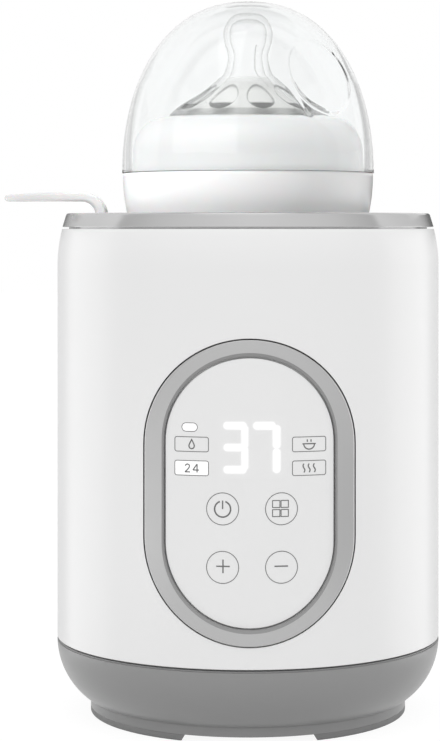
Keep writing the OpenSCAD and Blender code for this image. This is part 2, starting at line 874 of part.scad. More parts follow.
// Half outline of the basket's leg, bend and handle, revolved and then cut to its width
module handle_2d() {
  bend_x = basket_r + bend_r;
  z_bend = z_handle - bend_r;
  outer = bend_r + leg_t;
  translate([leg_in, z_tank]) square([leg_t, z_bend - z_tank]);
  intersection() {
    translate([bend_x, z_bend]) difference() {
      circle(outer);
      circle(bend_r);
    }
    translate([leg_in, z_bend]) square([outer, outer]);
  }
  polygon([
    [bend_x, z_handle], [handle_reach, z_handle], [handle_reach, z_handle + handle_tip_t],
    [bend_x + outer, z_handle + handle_t], [bend_x, z_handle + leg_t]
  ]);
}

module lifting_basket() {
  slot_in = 12;
  slot_w = 5;
  slot_out = basket_r - basket_t - 3;
  corner = 6;
  color(white) {
    difference() {
      union() {
        ring(basket_r, basket_r - basket_t, z_tank, z_tank + basket_wall_h);
        rod(basket_r - basket_t / 2, z_basket_floor, z_bottle);
      }
      for (i = [0:basket_slots - 1])
        rotate([0, 0, (i + 0.5) * 360 / basket_slots])
          translate([(slot_in + slot_out) / 2, 0, z_basket_floor - past])
            linear_extrude(basket_floor_t + 2 * past) stadium(slot_out - slot_in, slot_w);
      for (a = [0, 60, 120])
        rotate([0, 0, a]) translate([-body_r, -foot_notch_w / 2, z_tank - past])
          cube([body_d, foot_notch_w, basket_foot_h + past]);
    }
    intersection() {
      rotate_extrude() handle_2d();
      translate([-handle_reach, 0, z_tank]) linear_extrude(z_rim) {
        translate([corner, -handle_w / 2]) square([handle_reach - corner, handle_w]);
        translate([0, -handle_w / 2 + corner]) square([corner, handle_w - 2 * corner]);
        for (s = [-1, 1]) translate([corner, s * (handle_w / 2 - corner)]) circle(corner);
      }
    }
  }
}

// Half outline of the bottle from the axis to its outside, inset by a wall
function bottle_outline(w) = concat(
  [[0, z_bottle + w], [bottle_r - bottle_heel, z_bottle + w]],
  arc(bottle_r - bottle_heel, z_bottle + bottle_heel, bottle_heel - w, -90, 0),
  arc(bottle_r - shoulder_h / 2, z_shoulder, shoulder_h / 2 - w, 0, 60),
  [[neck_r - w, z_neck], [neck_r - w, z_mouth], [0, z_mouth]]
);

module bottle() {
  color(clear) rotate_extrude() difference() {
    polygon(bottle_outline(0));
    polygon([for (p = bottle_outline(bottle_wall)) [p.x, p.y < z_mouth ? p.y : z_mouth + past]]);
  }
}

// Outside of the teat from its flange up to the tip
function teat_curve(w) = along([
  [ring_mouth_r - 0.6 - w, z_ring_top + 0.5 - w],
  [19.6 - w, z_ring_top + 3.2 - w],
  [12.6 - 0.8 * w, z_ring_top + 7.6 - w],
  [nipple_d / 2 + 0.6 - w, z_ring_top + 12.4 - w / 2],
  [nipple_d / 2 - 1.1 - w, z_ring_top + 18],
  [nipple_d / 2 - w, z_teat_tip - 8.6],
  [nipple_d / 2 - w, z_teat_tip - 4.6],
  [nipple_d / 2 - 2.6 - w / 2, z_teat_tip - 0.8 - w],
  [0, z_teat_tip - w]
], 5);

// One petal: an egg lying on the teat's skirt, with its narrow end towards the nipple
module petal() {
  petal_l = 10;
  blunt_r = 3.8;
  narrow_r = 2.6;
  petal_deep = 0.7;
  petal_place = 15.6;
  petal_rise = 5.6;
  slope = 33;
  apart = petal_l - blunt_r - narrow_r;
  lean = asin((blunt_r - narrow_r) / apart);
  translate([0, -petal_place, z_ring_top + petal_rise]) rotate([slope, 0, 0])
    translate([0, 0, -petal_deep]) linear_extrude(4) polygon(concat(
      arc(0, apart / 2, narrow_r, lean, 180 - lean),
      arc(0, -apart / 2, blunt_r, 180 - lean, 360 + lean, 12)
    ));
}

module teat() {
  color(clear) difference() {
    rotate_extrude() difference() {
      polygon(concat(
        [[0, z_mouth], [teat_flange_r, z_mouth], [teat_flange_r, z_teat], [ring_mouth_r - 0.6, z_teat]],
        teat_curve(0)
      ));
      polygon(concat(
        [[0, z_mouth - past], [ring_mouth_r - 0.6 - teat_wall, z_mouth - past]],
        teat_curve(teat_wall)
      ));
    }
    for (i = [0:petal_count - 1]) rotate([0, 0, petal_turn + i * 360 / petal_count]) petal();
    rod(0.4, z_teat_tip - 2 * teat_wall, z_teat_tip + past);
  }
}

// Round shoulder of the ring inside the cap, from upright in to its mouth, inset by a wall
function ring_dome(w, to = 90) = arc(ring_dome_in, z_ring_top - ring_dome_r, ring_dome_r - w, 0, to, 12);

module screw_ring() {
  z_lip_low = z_teat + 0.2;
  sleeve_out = sleeve_in + ring_wall;
  roof_turn = acos((sleeve_out - ring_dome_in) / (ring_dome_r - ring_wall));
  color(white) rotate_extrude() difference() {
    polygon(concat(
      [[sleeve_in, z_ring], [ring_r - ring_skirt_draw, z_ring],
       [ring_r - 0.5, z_ring + 0.45 * ring_skirt_h], [ring_r, z_ring + 0.8 * ring_skirt_h],
       [ring_r, z_ring_ledge], [ring_plug_r, z_ring_ledge]],
      ring_dome(0),
      [[ring_mouth_r, z_ring_top - ring_mouth_edge], [ring_mouth_r, z_lip_low], [sleeve_in, z_lip_low]]
    ));
    polygon(concat(
      [[sleeve_out, z_ring - past], [ring_r - ring_skirt_draw - ring_wall, z_ring - past],
       [ring_r - 0.5 - ring_wall, z_ring + 0.45 * ring_skirt_h],
       [ring_plug_r - ring_wall, z_ring_ledge - ring_wall]],
      ring_dome(ring_wall, roof_turn)
    ));
  }
}

// Half outline of the cap's dome, inset by a wall at its foot and by another at its crown
function cap_outline(foot_t, crown_t) = concat([[0, z_ring_ledge]], [
  for (i = [0:cap_steps])
    let (a = 90 * i / cap_steps)
      [
        (cap_r - foot_t) * pow(cos(a), 2 / cap_flat),
        z_ring_ledge + (cap_h - crown_t) * pow(sin(a), 2 / cap_full)
      ]
]);

// Places its children on the cap where the dimple is, with +Z along the dimple's axis
module at_dimple() {
  t = dimple_rise / cap_h;
  r = cap_r * pow(1 - pow(t, cap_full), 1 / cap_flat);
  rotate([0, 0, dimple_az]) translate([0, -r, z_ring_ledge + dimple_rise])
    rotate([90 - dimple_tilt, 0, 0]) children();
}

module dome_cap() {
  dimple_r = dimple_d / 2;
  color(clear) difference() {
    rotate_extrude() polygon(cap_outline(0, 0));
    at_dimple() {
      rod(dimple_r, -dimple_sink, cap_r);
      rod(dimple_r - dimple_rim, -dimple_sink - dimple_floor, cap_r);
    }
    difference() {
      translate([0, 0, -past]) rotate_extrude() polygon(concat(
        [[0, z_ring_ledge], [cap_r - cap_wall, z_ring_ledge]],
        [for (p = cap_outline(cap_wall, cap_crown)) if (p.x > 0 || p.y > z_ring_ledge) [p.x, p.y + past]]
      ));
      at_dimple() rod(dimple_r + cap_wall, -dimple_sink - dimple_floor - cap_wall, cap_r);
    }
  }
}

base();
bottom_cover();
foot_pad();
base_screws();
cord_grommet();
housing();
top_rim();
rim_seal();
water_tank();
heating_plate();
plate_seal();
clamp_ring();
clamp_screws();
ptc_heater();
heater_strap();
strap_screws();
thermistor();
thermal_fuse();
power_board();
power_components();
power_board_screws();
bezel();
touch_panel();
control_board();
display_module();
indicator_leds();
touch_springs();
control_board_screws();
ribbon_cable();
heater_leads();
sensor_lead();
lifting_basket();
bottle();
teat();
screw_ring();
dome_cap();
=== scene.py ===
"""Looks of a countertop bottle warmer: moulded housing, touch panel, lifting basket and a feeding bottle."""

import math

import bmesh
import bpy
import numpy as np
from bpy.props import FloatProperty, FloatVectorProperty, IntProperty, PointerProperty
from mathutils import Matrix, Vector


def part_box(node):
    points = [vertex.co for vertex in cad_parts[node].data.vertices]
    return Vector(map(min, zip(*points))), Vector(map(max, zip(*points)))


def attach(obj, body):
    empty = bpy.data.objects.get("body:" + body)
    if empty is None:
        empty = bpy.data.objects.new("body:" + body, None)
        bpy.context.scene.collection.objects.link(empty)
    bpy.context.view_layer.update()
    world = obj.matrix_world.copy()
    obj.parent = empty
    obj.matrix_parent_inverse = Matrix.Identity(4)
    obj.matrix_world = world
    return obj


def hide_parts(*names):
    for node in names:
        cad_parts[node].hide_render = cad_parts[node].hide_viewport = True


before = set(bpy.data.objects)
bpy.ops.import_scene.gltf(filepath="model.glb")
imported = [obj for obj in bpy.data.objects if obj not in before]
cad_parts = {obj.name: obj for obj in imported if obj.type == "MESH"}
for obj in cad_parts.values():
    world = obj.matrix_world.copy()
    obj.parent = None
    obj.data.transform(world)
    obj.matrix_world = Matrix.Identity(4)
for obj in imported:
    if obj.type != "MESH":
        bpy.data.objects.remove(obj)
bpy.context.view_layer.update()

bl_info = {
    "name": "Bottle warmer looks",
    "version": (1, 0, 0),
    "blender": (4, 5, 0),
    "location": "View3D > Sidebar > Warmer",
    "description": "Builds the finished pieces of a bottle warmer around its packed solids",
    "category": "Object",
}

MM = 0.001


def top(node):
    """Highest level of a solid, in millimetres."""
    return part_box(node)[1].z / MM


def low(node):
    """Lowest level of a solid, in millimetres."""
    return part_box(node)[0].z / MM


def reach(node):
    """Largest distance of a solid from the upright axis along +X, in millimetres."""
    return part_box(node)[1].x / MM


BODY_R = reach("housing")
SEAM_LOW = low("housing")
SEAM_HIGH = top("housing")
PANEL_Z = (low("bezel") + top("bezel")) / 2
BEZEL_W = 2 * reach("bezel")
BEZEL_H = top("bezel") - low("bezel")
BEZEL_R = -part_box("bezel")[0].y / MM
PANEL_W = 2 * reach("touch_panel")
PANEL_H = top("touch_panel") - low("touch_panel")
PANEL_R = -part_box("touch_panel")[0].y / MM
LEDGE = low("dome_cap")
MOUTH = top("bottle")
INLET_Z = (low("cord_grommet") + top("cord_grommet")) / 2
# Open line between the housing and the pieces above and below it
SEAM = 0.5
# How far ink and lit sheets stand over the panel, and how far they reach into it
INK_OVER, GLOW_OVER, INK_UNDER = 0.03, 0.02, 0.05
WHITE = (1.0, 1.0, 1.0, 1.0)


def srgb(code):
    """Linear red, green, blue of an sRGB hex value."""
    values = [int(code[i : i + 2], 16) / 255 for i in (1, 3, 5)]
    return tuple(v / 12.92 if v <= 0.04045 else ((v + 0.055) / 1.055) ** 2.4 for v in values)


def dial(name, text, value, **kind):
    """A number that a user may change."""
    return FloatProperty(name=name, description=text, default=value, **kind)


def size(name, text, value):
    """A length in millimetres that a user may change."""
    return dial(name, text, value * MM, min=0.0, unit="LENGTH", precision=5)


def tint(name, text, code):
    """A colour that a user may change, from its sRGB hex value."""
    kind = {"subtype": "COLOR", "size": 3, "min": 0.0, "max": 1.0}
    return FloatVectorProperty(name=name, description=text, default=srgb(code), **kind)


class WarmerSizes(bpy.types.PropertyGroup):
    """Sizes of the finished details"""

    columns: IntProperty(name="Columns", description="Columns round each piece", default=192, min=48, max=360)
    edge: size("Edge radius", "Rounding of the moulded edges", 0.2)
    seam: size("Bezel seam", "Open line between housing and bezel", 0.36)
    mark_line: size("Mark line", "Width of the printed lines on the panel", 0.2)
    key_ring: size("Key ring", "Diameter of the ring printed round each touch key", 8.5)
    digit_fade: size("Digit fade", "Width over which a lit segment fades out", 0.4)
    petal_sink: size("Petal depth", "Depth of the petals in the teat's skirt", 0.65)
    thread: size("Thread", "Radius of the bead of the neck's thread", 0.42)
    tick: size("Graduation", "Height of the raised marks on the bottle", 0.3)


class WarmerColours(bpy.types.PropertyGroup):
    """Colours of the finishes"""

    housing: tint("Housing", "White of the housing", "#f0f0f0")
    base: tint("Base", "Grey of the base and its foot ring", "#909090")
    foot: tint("Foot", "Grey of the rubber foot", "#868686")
    rim: tint("Rim", "Silver paint of the top rim", "#c2c2c2")
    bezel: tint("Bezel", "Silver paint of the bezel", "#b9b9b9")
    panel: tint("Panel", "Pale grey of the touch panel", "#f1f1f1")
    print_grey: tint("Print", "Grey of the printed lines", "#6c6c6c")
    lit: tint("Lit", "White of the lit digits", "#ffffff")
    collar: tint("Collar", "White of the screw ring", "#e8e8e8")
    basket: tint("Basket", "White of the basket and its handle", "#ededed")
    clear: tint("Clear", "Tint of the clear cap and bottle", "#fcfdfd")
    # The teat's grey is painted shade: it shows along the edges, where the surface is seen endwise
    teat: tint("Teat", "Grey of the silicone where it is seen endwise", "#b0b1b0")


class StudioSettings(bpy.types.PropertyGroup):
    """Camera and light"""

    lens: dial("Lens", "Focal length", 105.1, min=10.0, unit="CAMERA")
    distance: dial("Distance", "Camera to the warmer's axis", 0.627, min=0.1, unit="LENGTH")
    height: dial("Height", "Camera above the table", 0.1388, min=0.0, unit="LENGTH")
    turn: dial("Turn", "Camera's way round to the left", math.radians(0.5), subtype="ANGLE")
    sky: dial("Sky", "Strength of the even light", 1.0, min=0.0)
    top_box: dial("Top box", "Power of the soft light overhead", 1.2, min=0.0, unit="POWER")
    boxes: dial("Boxes", "Brightness of the soft boxes that gloss shows", 1.9, min=0.0)
    snoot: dial("Snoot", "Power of the narrow light on the bottle", 20.0, min=0.0, unit="POWER")


def add(tree, kind, links=None, **settings):
    """Adds a node with its settings; each link is a value for an input or an output to join to it."""
    node = tree.nodes.new(kind)
    for key, value in settings.items():
        setattr(node, key, value)
    for socket, source in (links or {}).items():
        if isinstance(source, bpy.types.NodeSocket):
            tree.links.new(source, node.inputs[socket])
        else:
            node.inputs[socket].default_value = source
    return node


def calc(tree, operation, *values):
    """Output of a maths node on the given values and outputs."""
    return add(tree, "ShaderNodeMath", dict(enumerate(values)), operation=operation).outputs[0]


def ranged(tree, value, start, end, first=0.0, last=1.0):
    """Output of a node that maps the range from start to end onto the one from first to last."""
    return add(tree, "ShaderNodeMapRange", {0: value, 1: start, 2: end, 3: first, 4: last}).outputs[0]


def mixed(tree, share, one, two):
    """Output of a node that mixes two colours."""
    return add(tree, "ShaderNodeMix", {0: share, 6: one, 7: two}, data_type="RGBA").outputs[2]


def mark(tree, name):
    """Output of a node that reads a number kept on each point."""
    return add(tree, "ShaderNodeAttribute", attribute_name=name).outputs["Fac"]


def opaque(colour):
    """A colour with full alpha."""
    return tuple(colour) + (1.0,)


def finish(name, colour, grit, depth, rough, patch, drift, sockets):
    """A surface shader with a fine moulded grit, patches of differing gloss and a slight drift of its colour.

    grit and patch are sizes in millimetres, depth the height of the grit, rough the range of roughness.
    """
    made = bpy.data.materials.new(name)
    made.use_nodes = True
    tree = made.node_tree
    shader = tree.nodes["Principled BSDF"]
    for key, value in sockets.items():
        shader.inputs[key].default_value = value
    place = add(tree, "ShaderNodeTexCoord").outputs["Object"]
    broad = {"Vector": place, "Scale": 1 / (patch * MM), "Detail": 3.0}
    broad = add(tree, "ShaderNodeTexNoise", broad).outputs["Fac"]
    tree.links.new(ranged(tree, broad, 0.3, 0.7, *rough), shader.inputs["Roughness"])
    shade = opaque(c * (1 - drift) for c in colour)
    tree.links.new(mixed(tree, broad, opaque(colour), shade), shader.inputs["Base Color"])
    if grit:
        fine = add(tree, "ShaderNodeTexNoise", {"Vector": place, "Scale": 1 / (grit * MM), "Detail": 1.0})
        relief = {"Strength": 1.0, "Distance": depth * MM, "Height": fine.outputs["Fac"]}
        tree.links.new(add(tree, "ShaderNodeBump", relief).outputs["Normal"], shader.inputs["Normal"])
    return made


def lit(tree, shader):
    """Light that follows the glow kept on each point."""
    shader.inputs["Emission Color"].default_value = opaque(bpy.context.scene.warmer_colours.lit)
    tree.links.new(ranged(tree, mark(tree, "glow"), 0.0, 1.0, 0.0, 0.3), shader.inputs["Emission Strength"])


def veiled(tree, shader):
    """Clear where it is met square on; painted shade: grey at its edges, darker on petals, hem and rib; milky
    inside.
    """
    facing = add(tree, "ShaderNodeLayerWeight", {"Blend": 0.5}).outputs["Facing"]
    # Painted edge shade: grey grows where the surface is seen endwise
    painted_edge_shade = ranged(tree, calc(tree, "POWER", facing, 4.0), 0.0, 1.0, 0.01, 0.9)
    thick, milk = mark(tree, "thick"), mark(tree, "milk")
    cover = calc(tree, "MAXIMUM", calc(tree, "MAXIMUM", painted_edge_shade, thick), milk)
    tree.links.new(cover, shader.inputs["Alpha"])
    grey = shader.inputs["Base Color"].links[0].from_socket
    # Painted shade: a dark grey where the mark named thick lies
    deep = mixed(tree, thick, grey, opaque(srgb("#3c3d3c")))
    body = mixed(tree, ranged(tree, milk, 0.0, 0.1), deep, opaque(srgb("#f2f2f0")))
    tree.links.new(body, shader.inputs["Base Color"])


MILKY = {"IOR": 1.49, "Subsurface Weight": 0.15, "Subsurface Scale": 0.002}
METAL = {"Metallic": 1.0}
FLAKES = {"Metallic": 0.6}
CLEAR_CAP = {"IOR": 1.47, "Transmission Weight": 1.0}
CLEAR_BOTTLE = {"IOR": 1.49, "Transmission Weight": 0.96}

# The material of each slot: its name, its colour (a setting or a hex value), grit and the grit's depth,
# range of roughness, size of the patches, drift of the colour and the shader's other sockets
FINISHES = {
    # Injection-moulded ABS from a polished tool: even white, soft wide highlights, almost no grain
    "white_abs": ("moulded_white_abs", "housing", 0.0, 0.0, (0.28, 0.32), 30.0, 0.01, {"IOR": 1.54}),
    # ABS from a fine spark-eroded tool: dull grey; the real grit of 0.1 mm is drawn at 0.5 mm to show
    "grey_abs": ("textured_grey_abs", "base", 0.5, 0.006, (0.3, 0.36), 18.0, 0.03, {"IOR": 1.54}),
    # Sprayed silver lacquer on ABS: metal flakes make it brighten and darken along the curve
    "rim_abs": ("silver_lacquer_rim", "rim", 0.4, 0.002, (0.1, 0.13), 18.0, 0.03, FLAKES),
    # The same lacquer, a little duller, on the bezel
    "bezel_satin": ("silver_lacquer_bezel", "bezel", 0.4, 0.003, (0.3, 0.36), 18.0, 0.03, FLAKES),
    # Pale PMMA printed on its back: clean and glossy, the print lies under a clear skin
    "panel_gloss": ("back_printed_pmma", "panel", 0.0, 0.0, (0.16, 0.2), 18.0, 0.03, {"IOR": 1.49}),
    # Screen-printed ink: flat grey lines, matt beside the gloss round them
    "print_grey": ("screen_ink_grey", "print_grey", 0.3, 0.002, (0.45, 0.55), 18.0, 0.03, {"IOR": 1.5}),
    # Light from the display soaking through the panel: white cores that fade at their edges
    "lit_white": ("display_glow", "panel", 0.0, 0.0, (0.16, 0.2), 18.0, 0.03, {"IOR": 1.49}),
    # Moulded polypropylene: milky white, a waxy gloss and a little light let in
    "ring_pp": ("glossy_white_pp", "collar", 0.5, 0.002, (0.2, 0.26), 18.0, 0.03, MILKY),
    # The same plastic on the basket, whose handle is handled to a shine
    "basket_pp": ("handled_white_pp", "basket", 0.6, 0.003, (0.2, 0.28), 18.0, 0.03, MILKY),
    # Clear polypropylene copolymer: thin bright wall, edges go grey where the wall is seen endwise
    "cap_clear": ("clear_pp_cap", "clear", 0.0, 0.0, (0.015, 0.03), 25.0, 0.01, CLEAR_CAP),
    # The bottle's polypropylene is thicker and a touch hazier than the cap's
    "bottle_clear": ("hazy_pp_bottle", "clear", 0.0, 0.0, (0.06, 0.1), 25.0, 0.01, CLEAR_BOTTLE),
    # Liquid silicone rubber, clear when met square on; painted shade greys its edges, petals, hem and rib
    "teat_silicone": ("clear_silicone", "teat", 0.0, 0.0, (0.14, 0.2), 9.0, 0.04, {"IOR": 1.41}),
    # Thermoplastic rubber: matt grey that soaks up light
    "foot_rubber": ("soft_grey_rubber", "foot", 0.4, 0.02, (0.6, 0.75), 18.0, 0.03, {"IOR": 1.5}),
    # Rubber bushing round the cord's way in: dull black
    "grommet_rubber": ("black_rubber", "#1d1e1f", 0.4, 0.02, (0.55, 0.7), 18.0, 0.03, {"IOR": 1.5}),
    # Food-safe polypropylene of the tank: pale grey, waxy, a little hazed by water
    "tank_pp": ("water_tank_pp", "#e8eaeb", 0.8, 0.006, (0.28, 0.42), 12.0, 0.06, {"IOR": 1.49}),
    # Soft silicone seal: dull white
    "seal_silicone": ("white_silicone_seal", "#dcdcd8", 0.4, 0.01, (0.4, 0.5), 18.0, 0.03, {"IOR": 1.41}),
    # Stainless steel, stamped and washed: cool grey with faint rolling haze
    "steel": ("stamped_stainless", "#b9bcbf", 0.3, 0.003, (0.22, 0.36), 6.0, 0.08, METAL),
    # Extruded aluminium of the heater: bright and a little streaked
    "heater_aluminium": ("extruded_aluminium", "#c8cacb", 0.5, 0.004, (0.28, 0.42), 5.0, 0.08, METAL),
    # Drawn brass: warm yellow metal dulled by heat
    "sensor_brass": ("drawn_brass", "#b98a4a", 0.3, 0.003, (0.25, 0.4), 4.0, 0.15, METAL),
    # Glass-fibre laminate under green solder mask: satin, with the weave faintly raised
    "board_laminate": ("green_laminate", "#2c6a48", 0.9, 0.01, (0.3, 0.42), 5.0, 0.18, {"IOR": 1.5}),
    # Moulded epoxy of the components: matt near-black
    "component_black": ("epoxy_black", "#26282a", 0.4, 0.01, (0.45, 0.6), 4.0, 0.1, {"IOR": 1.55}),
    # Diffusing lens of a small lamp: milky white
    "led_white": ("lamp_diffuser", "#f2f2ee", 0.3, 0.004, (0.3, 0.4), 3.0, 0.04, {"IOR": 1.5}),
    # Soft PVC sheath: satin grey-white
    "cable_pvc": ("lead_pvc", "#c9c9c6", 0.5, 0.006, (0.35, 0.5), 6.0, 0.06, {"IOR": 1.53}),
}
# Nodes that a finish has besides
EXTRA_NODES = {"lit_white": lit, "teat_silicone": veiled}
MADE = {}


def material(slot):
    """The material of that slot, made on its first use."""
    if slot not in MADE:
        name, colour, *grain = FINISHES[slot]
        colours = bpy.context.scene.warmer_colours
        MADE[slot] = finish(name, srgb(colour) if colour[0] == "#" else getattr(colours, colour), *grain)
        if slot in EXTRA_NODES:
            tree = MADE[slot].node_tree
            EXTRA_NODES[slot](tree, tree.nodes["Principled BSDF"])
    return MADE[slot]


def rounded(corners, steps=5):
    """A closed outline of (radius, level) points, with each corner rounded to its third value."""
    outline = []
    for i, (x, z, radius) in enumerate(corners):
        corner = np.array((x, z), float)
        if radius <= 0:
            outline.append(corner)
            continue
        back = np.array(corners[i - 1][:2], float) - corner
        ahead = np.array(corners[(i + 1) % len(corners)][:2], float) - corner
        long_back, long_ahead = np.linalg.norm(back), np.linalg.norm(ahead)
        back, ahead = back / long_back, ahead / long_ahead
        half = math.acos(np.clip(back @ ahead, -1, 1)) / 2
        cut = min(radius / math.tan(half), 0.49 * long_back, 0.49 * long_ahead)
        r = cut * math.tan(half)
        middle = corner + (back + ahead) / np.linalg.norm(back + ahead) * r / math.sin(half)
        first, last = corner + back * cut - middle, corner + ahead * cut - middle
        start = math.atan2(first[1], first[0])
        turn = math.atan2(last[1], last[0]) - start
        turn = (turn + math.pi) % (2 * math.pi) - math.pi
        for k in range(steps + 1):
            a = start + turn * k / steps
            outline.append(middle + r * np.array((math.cos(a), math.sin(a))))
    return np.array(outline)


def bow(cx, cz, r, start, end, steps):
    """Points on an arc, angles in degrees from the outward direction."""
    a = np.radians(np.linspace(start, end, steps + 1))
    return np.column_stack((cx + r * np.cos(a), cz + r * np.sin(a)))


def smooth(points, step):
    """A smooth curve through points, cut into pieces of about one step."""
    p = np.array(points, float)
    p = np.vstack((2 * p[0] - p[1], p, 2 * p[-1] - p[-2]))
    curve = []
    for a, b, c, d in zip(p, p[1:], p[2:], p[3:]):
        for t in np.arange(0, 1, 1 / max(2, round(np.linalg.norm(c - b) / step))):
            cubic = (3 * b - a - 3 * c + d) * t**3
            curve.append(0.5 * (2 * b + (c - a) * t + (2 * a - 5 * b + 4 * c - d) * t**2 + cubic))
    curve.append(p[-2])
    return np.array(curve)


def revolve(outline, columns):
    """Rows of points: an outline of (radius, level) carried round the upright axis, starting at the front.

    columns is their number, or the angles at which they stand.
    """
    outline = np.asarray(outline, float)
    a = np.linspace(0, 2 * math.pi, columns, endpoint=False) if np.isscalar(columns) else columns
    r, z = outline[:, :1], outline[:, 1:]
    return np.stack((r * np.sin(a), -r * np.cos(a), z + 0 * a), axis=-1)


def skin(rows, wrap_rows=True, wrap_columns=True):
    """Points and faces of a net of rows."""
    n, m = rows.shape[:2]
    faces = []
    for i in range(n if wrap_rows else n - 1):
        a, b = i * m, (i + 1) % n * m
        for k in range(m if wrap_columns else m - 1):
            j = (k + 1) % m
            faces.append((a + k, a + j, b + j, b + k))
    return rows.reshape(-1, 3), faces


def turned(outline, columns):
    """Points and faces of a closed outline carried round the upright axis."""
    return skin(revolve(outline, columns))


def capped(rows):
    """Points and faces of a net of rows that is closed over its first and last row."""
    points, faces = skin(rows, wrap_rows=False)
    n, m = rows.shape[:2]
    return points, faces + [tuple(range(m)), tuple(range((n - 1) * m, n * m))]


def along_cord(outline):
    """Points and faces of an outline of (radius, distance to the back), carried round the cord's way in."""
    points, faces = turned(outline, 64)
    return np.column_stack((points[:, 0], points[:, 2], points[:, 1] + INLET_Z)), faces


def joined(*parts):
    """Several sets of points and faces as one."""
    points, faces, start = [], [], 0
    for p, f in parts:
        points.append(p)
        faces += [tuple(i + start for i in face) for face in f]
        start += len(p)
    return np.vstack(points), faces


def solid(name, part, slot, crease=32.0, **marks):
    """A closed piece from points in millimetres: doubles merged, faces outward, sharp over crease degrees.

    Each mark is one number for every point, which the finish reads by its name.
    """
    points, faces = part
    if not faces:
        raise RuntimeError(name + " has no faces")
    mesh = bpy.data.meshes.new(name)
    mesh.from_pydata((np.asarray(points) * MM).tolist(), [], faces)
    for key, values in marks.items():
        layer = mesh.attributes.new(key, "FLOAT", "POINT")
        layer.data.foreach_set("value", np.asarray(values, np.float32).ravel())
    shape = bmesh.new()
    shape.from_mesh(mesh)
    bmesh.ops.remove_doubles(shape, verts=shape.verts, dist=1e-7)
    bmesh.ops.dissolve_degenerate(shape, edges=shape.edges, dist=1e-8)
    bmesh.ops.recalc_face_normals(shape, faces=shape.faces)
    shape.to_mesh(mesh)
    shape.free()
    mesh.shade_smooth()
    mesh.set_sharp_from_angle(angle=math.radians(crease))
    mesh.materials.append(material(slot))
    piece = bpy.data.objects.new(name, mesh)
    bpy.context.collection.objects.link(piece)
    return piece


def baked(piece, crease=32.0):
    """The piece with its modifiers turned into plain mesh."""
    graph = bpy.context.evaluated_depsgraph_get()
    mesh = bpy.data.meshes.new_from_object(piece.evaluated_get(graph))
    if not mesh.polygons:
        raise RuntimeError(piece.name + " came out empty")
    piece.modifiers.clear()
    old, piece.data = piece.data, mesh
    bpy.data.meshes.remove(old)
    mesh.shade_smooth()
    mesh.set_sharp_from_angle(angle=math.radians(crease))
    return piece


def carve(piece, tool, operation="DIFFERENCE"):
    """Cuts a tool out of a piece, or joins it on, and removes the tool."""
    change = piece.modifiers.new("carve", "BOOLEAN")
    change.operation = operation
    change.solver = "EXACT"
    change.object = tool
    baked(piece)
    bpy.data.objects.remove(tool)
    return piece


def settle(piece, body, slot, *nodes):
    """The piece rides on a body and stands for its solids; the slot is not used."""
    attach(piece, body)
    if nodes:
        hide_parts(*nodes)
    return piece


def fitted(name, part, slot, body, *nodes, crease=32.0, **marks):
    """A solid in the finish of its slot, settled on a body in place of its solids."""
    return settle(solid(name, part, slot, crease, **marks), body, slot, *nodes)


def grow_tree(name, values):
    """An empty node tree with a named input for each value, and the outputs of its input node."""
    tree = bpy.data.node_groups.new(name, "GeometryNodeTree")
    for key, value in values.items():
        kind = "NodeSocketInt" if isinstance(value, int) else "NodeSocketFloat"
        tree.interface.new_socket(key, in_out="INPUT", socket_type=kind)
    tree.interface.new_socket("Finish", in_out="INPUT", socket_type="NodeSocketMaterial")
    tree.interface.new_socket("Geometry", in_out="OUTPUT", socket_type="NodeSocketGeometry")
    return tree, add(tree, "NodeGroupInput").outputs


def grown(tree, given, geometry, values, slot):
    """The tree's plain mesh piece, once its instances are made real and its finish is set."""
    real = add(tree, "GeometryNodeRealizeInstances", {0: geometry})
    painted = add(tree, "GeometryNodeSetMaterial", {0: real.outputs[0], "Material": given["Finish"]})
    add(tree, "NodeGroupOutput", {0: painted.outputs[0]})
    piece = bpy.data.objects.new(tree.name, bpy.data.meshes.new(tree.name))
    change = piece.modifiers.new("grow", "NODES")
    change.node_group = tree
    sockets = {s.name: s.identifier for s in tree.interface.items_tree if s.in_out == "INPUT"}
    for key, value in {**values, "Finish": material(slot)}.items():
        change[sockets[key]] = value
    bpy.context.collection.objects.link(piece)
    return baked(piece)


def arc_depth(tree, r, side):
    """How far an upright cylinder of radius r reaches forward, that far beside its middle."""
    rest = calc(tree, "SUBTRACT", calc(tree, "MULTIPLY", r, r), calc(tree, "MULTIPLY", side, side))
    return calc(tree, "SQRT", rest)


def bent(tree, instances, side, forward, up):
    """Instances made real, with each point set to the given side, forward and up."""
    real = add(tree, "GeometryNodeRealizeInstances", {0: instances}).outputs[0]
    spot = {"X": side, "Y": calc(tree, "MULTIPLY", forward, -1.0), "Z": up}
    spot = add(tree, "ShaderNodeCombineXYZ", spot).outputs[0]
    return add(tree, "GeometryNodeSetPosition", {"Geometry": real, "Position": spot}).outputs[0]


def point(tree):
    """X, Y and Z of each point."""
    return add(tree, "ShaderNodeSeparateXYZ", {0: add(tree, "GeometryNodeInputPosition").outputs[0]}).outputs


def slot_path(width, height, turn_steps=48, side_steps=20):
    """Points round an upright slot and the outward directions there."""
    r, half = width / 2, (height - width) / 2
    sides = np.linspace(-half, half, side_steps, endpoint=False)
    up = np.radians(np.linspace(0, 180, turn_steps, endpoint=False))
    points = [(r, z) for z in sides] + [(r * math.cos(a), half + r * math.sin(a)) for a in up]
    ways = [(1, 0)] * side_steps + [(math.cos(a), math.sin(a)) for a in up]
    return (
        np.array(points + [(-x, -z) for x, z in points], float),
        np.array(ways + [(-x, -z) for x, z in ways], float),
    )


def on_front(x, z, r):
    """Points on an upright cylinder of radius r, seen from the front."""
    x, z = np.broadcast_arrays(np.asarray(x, float), np.asarray(z, float))
    return np.stack((x, -np.sqrt(np.asarray(r, float) ** 2 - x**2), z), axis=-1)


def front_band(section):
    """A closed band round the panel: section points are (slot's width and height, distance out, radius)."""
    rows = []
    for slot, d, r in section:
        points, ways = slot_path(*slot)
        x, z = (points + d * ways).T
        rows.append(on_front(x, z + PANEL_Z, r))
    return skin(np.array(rows))


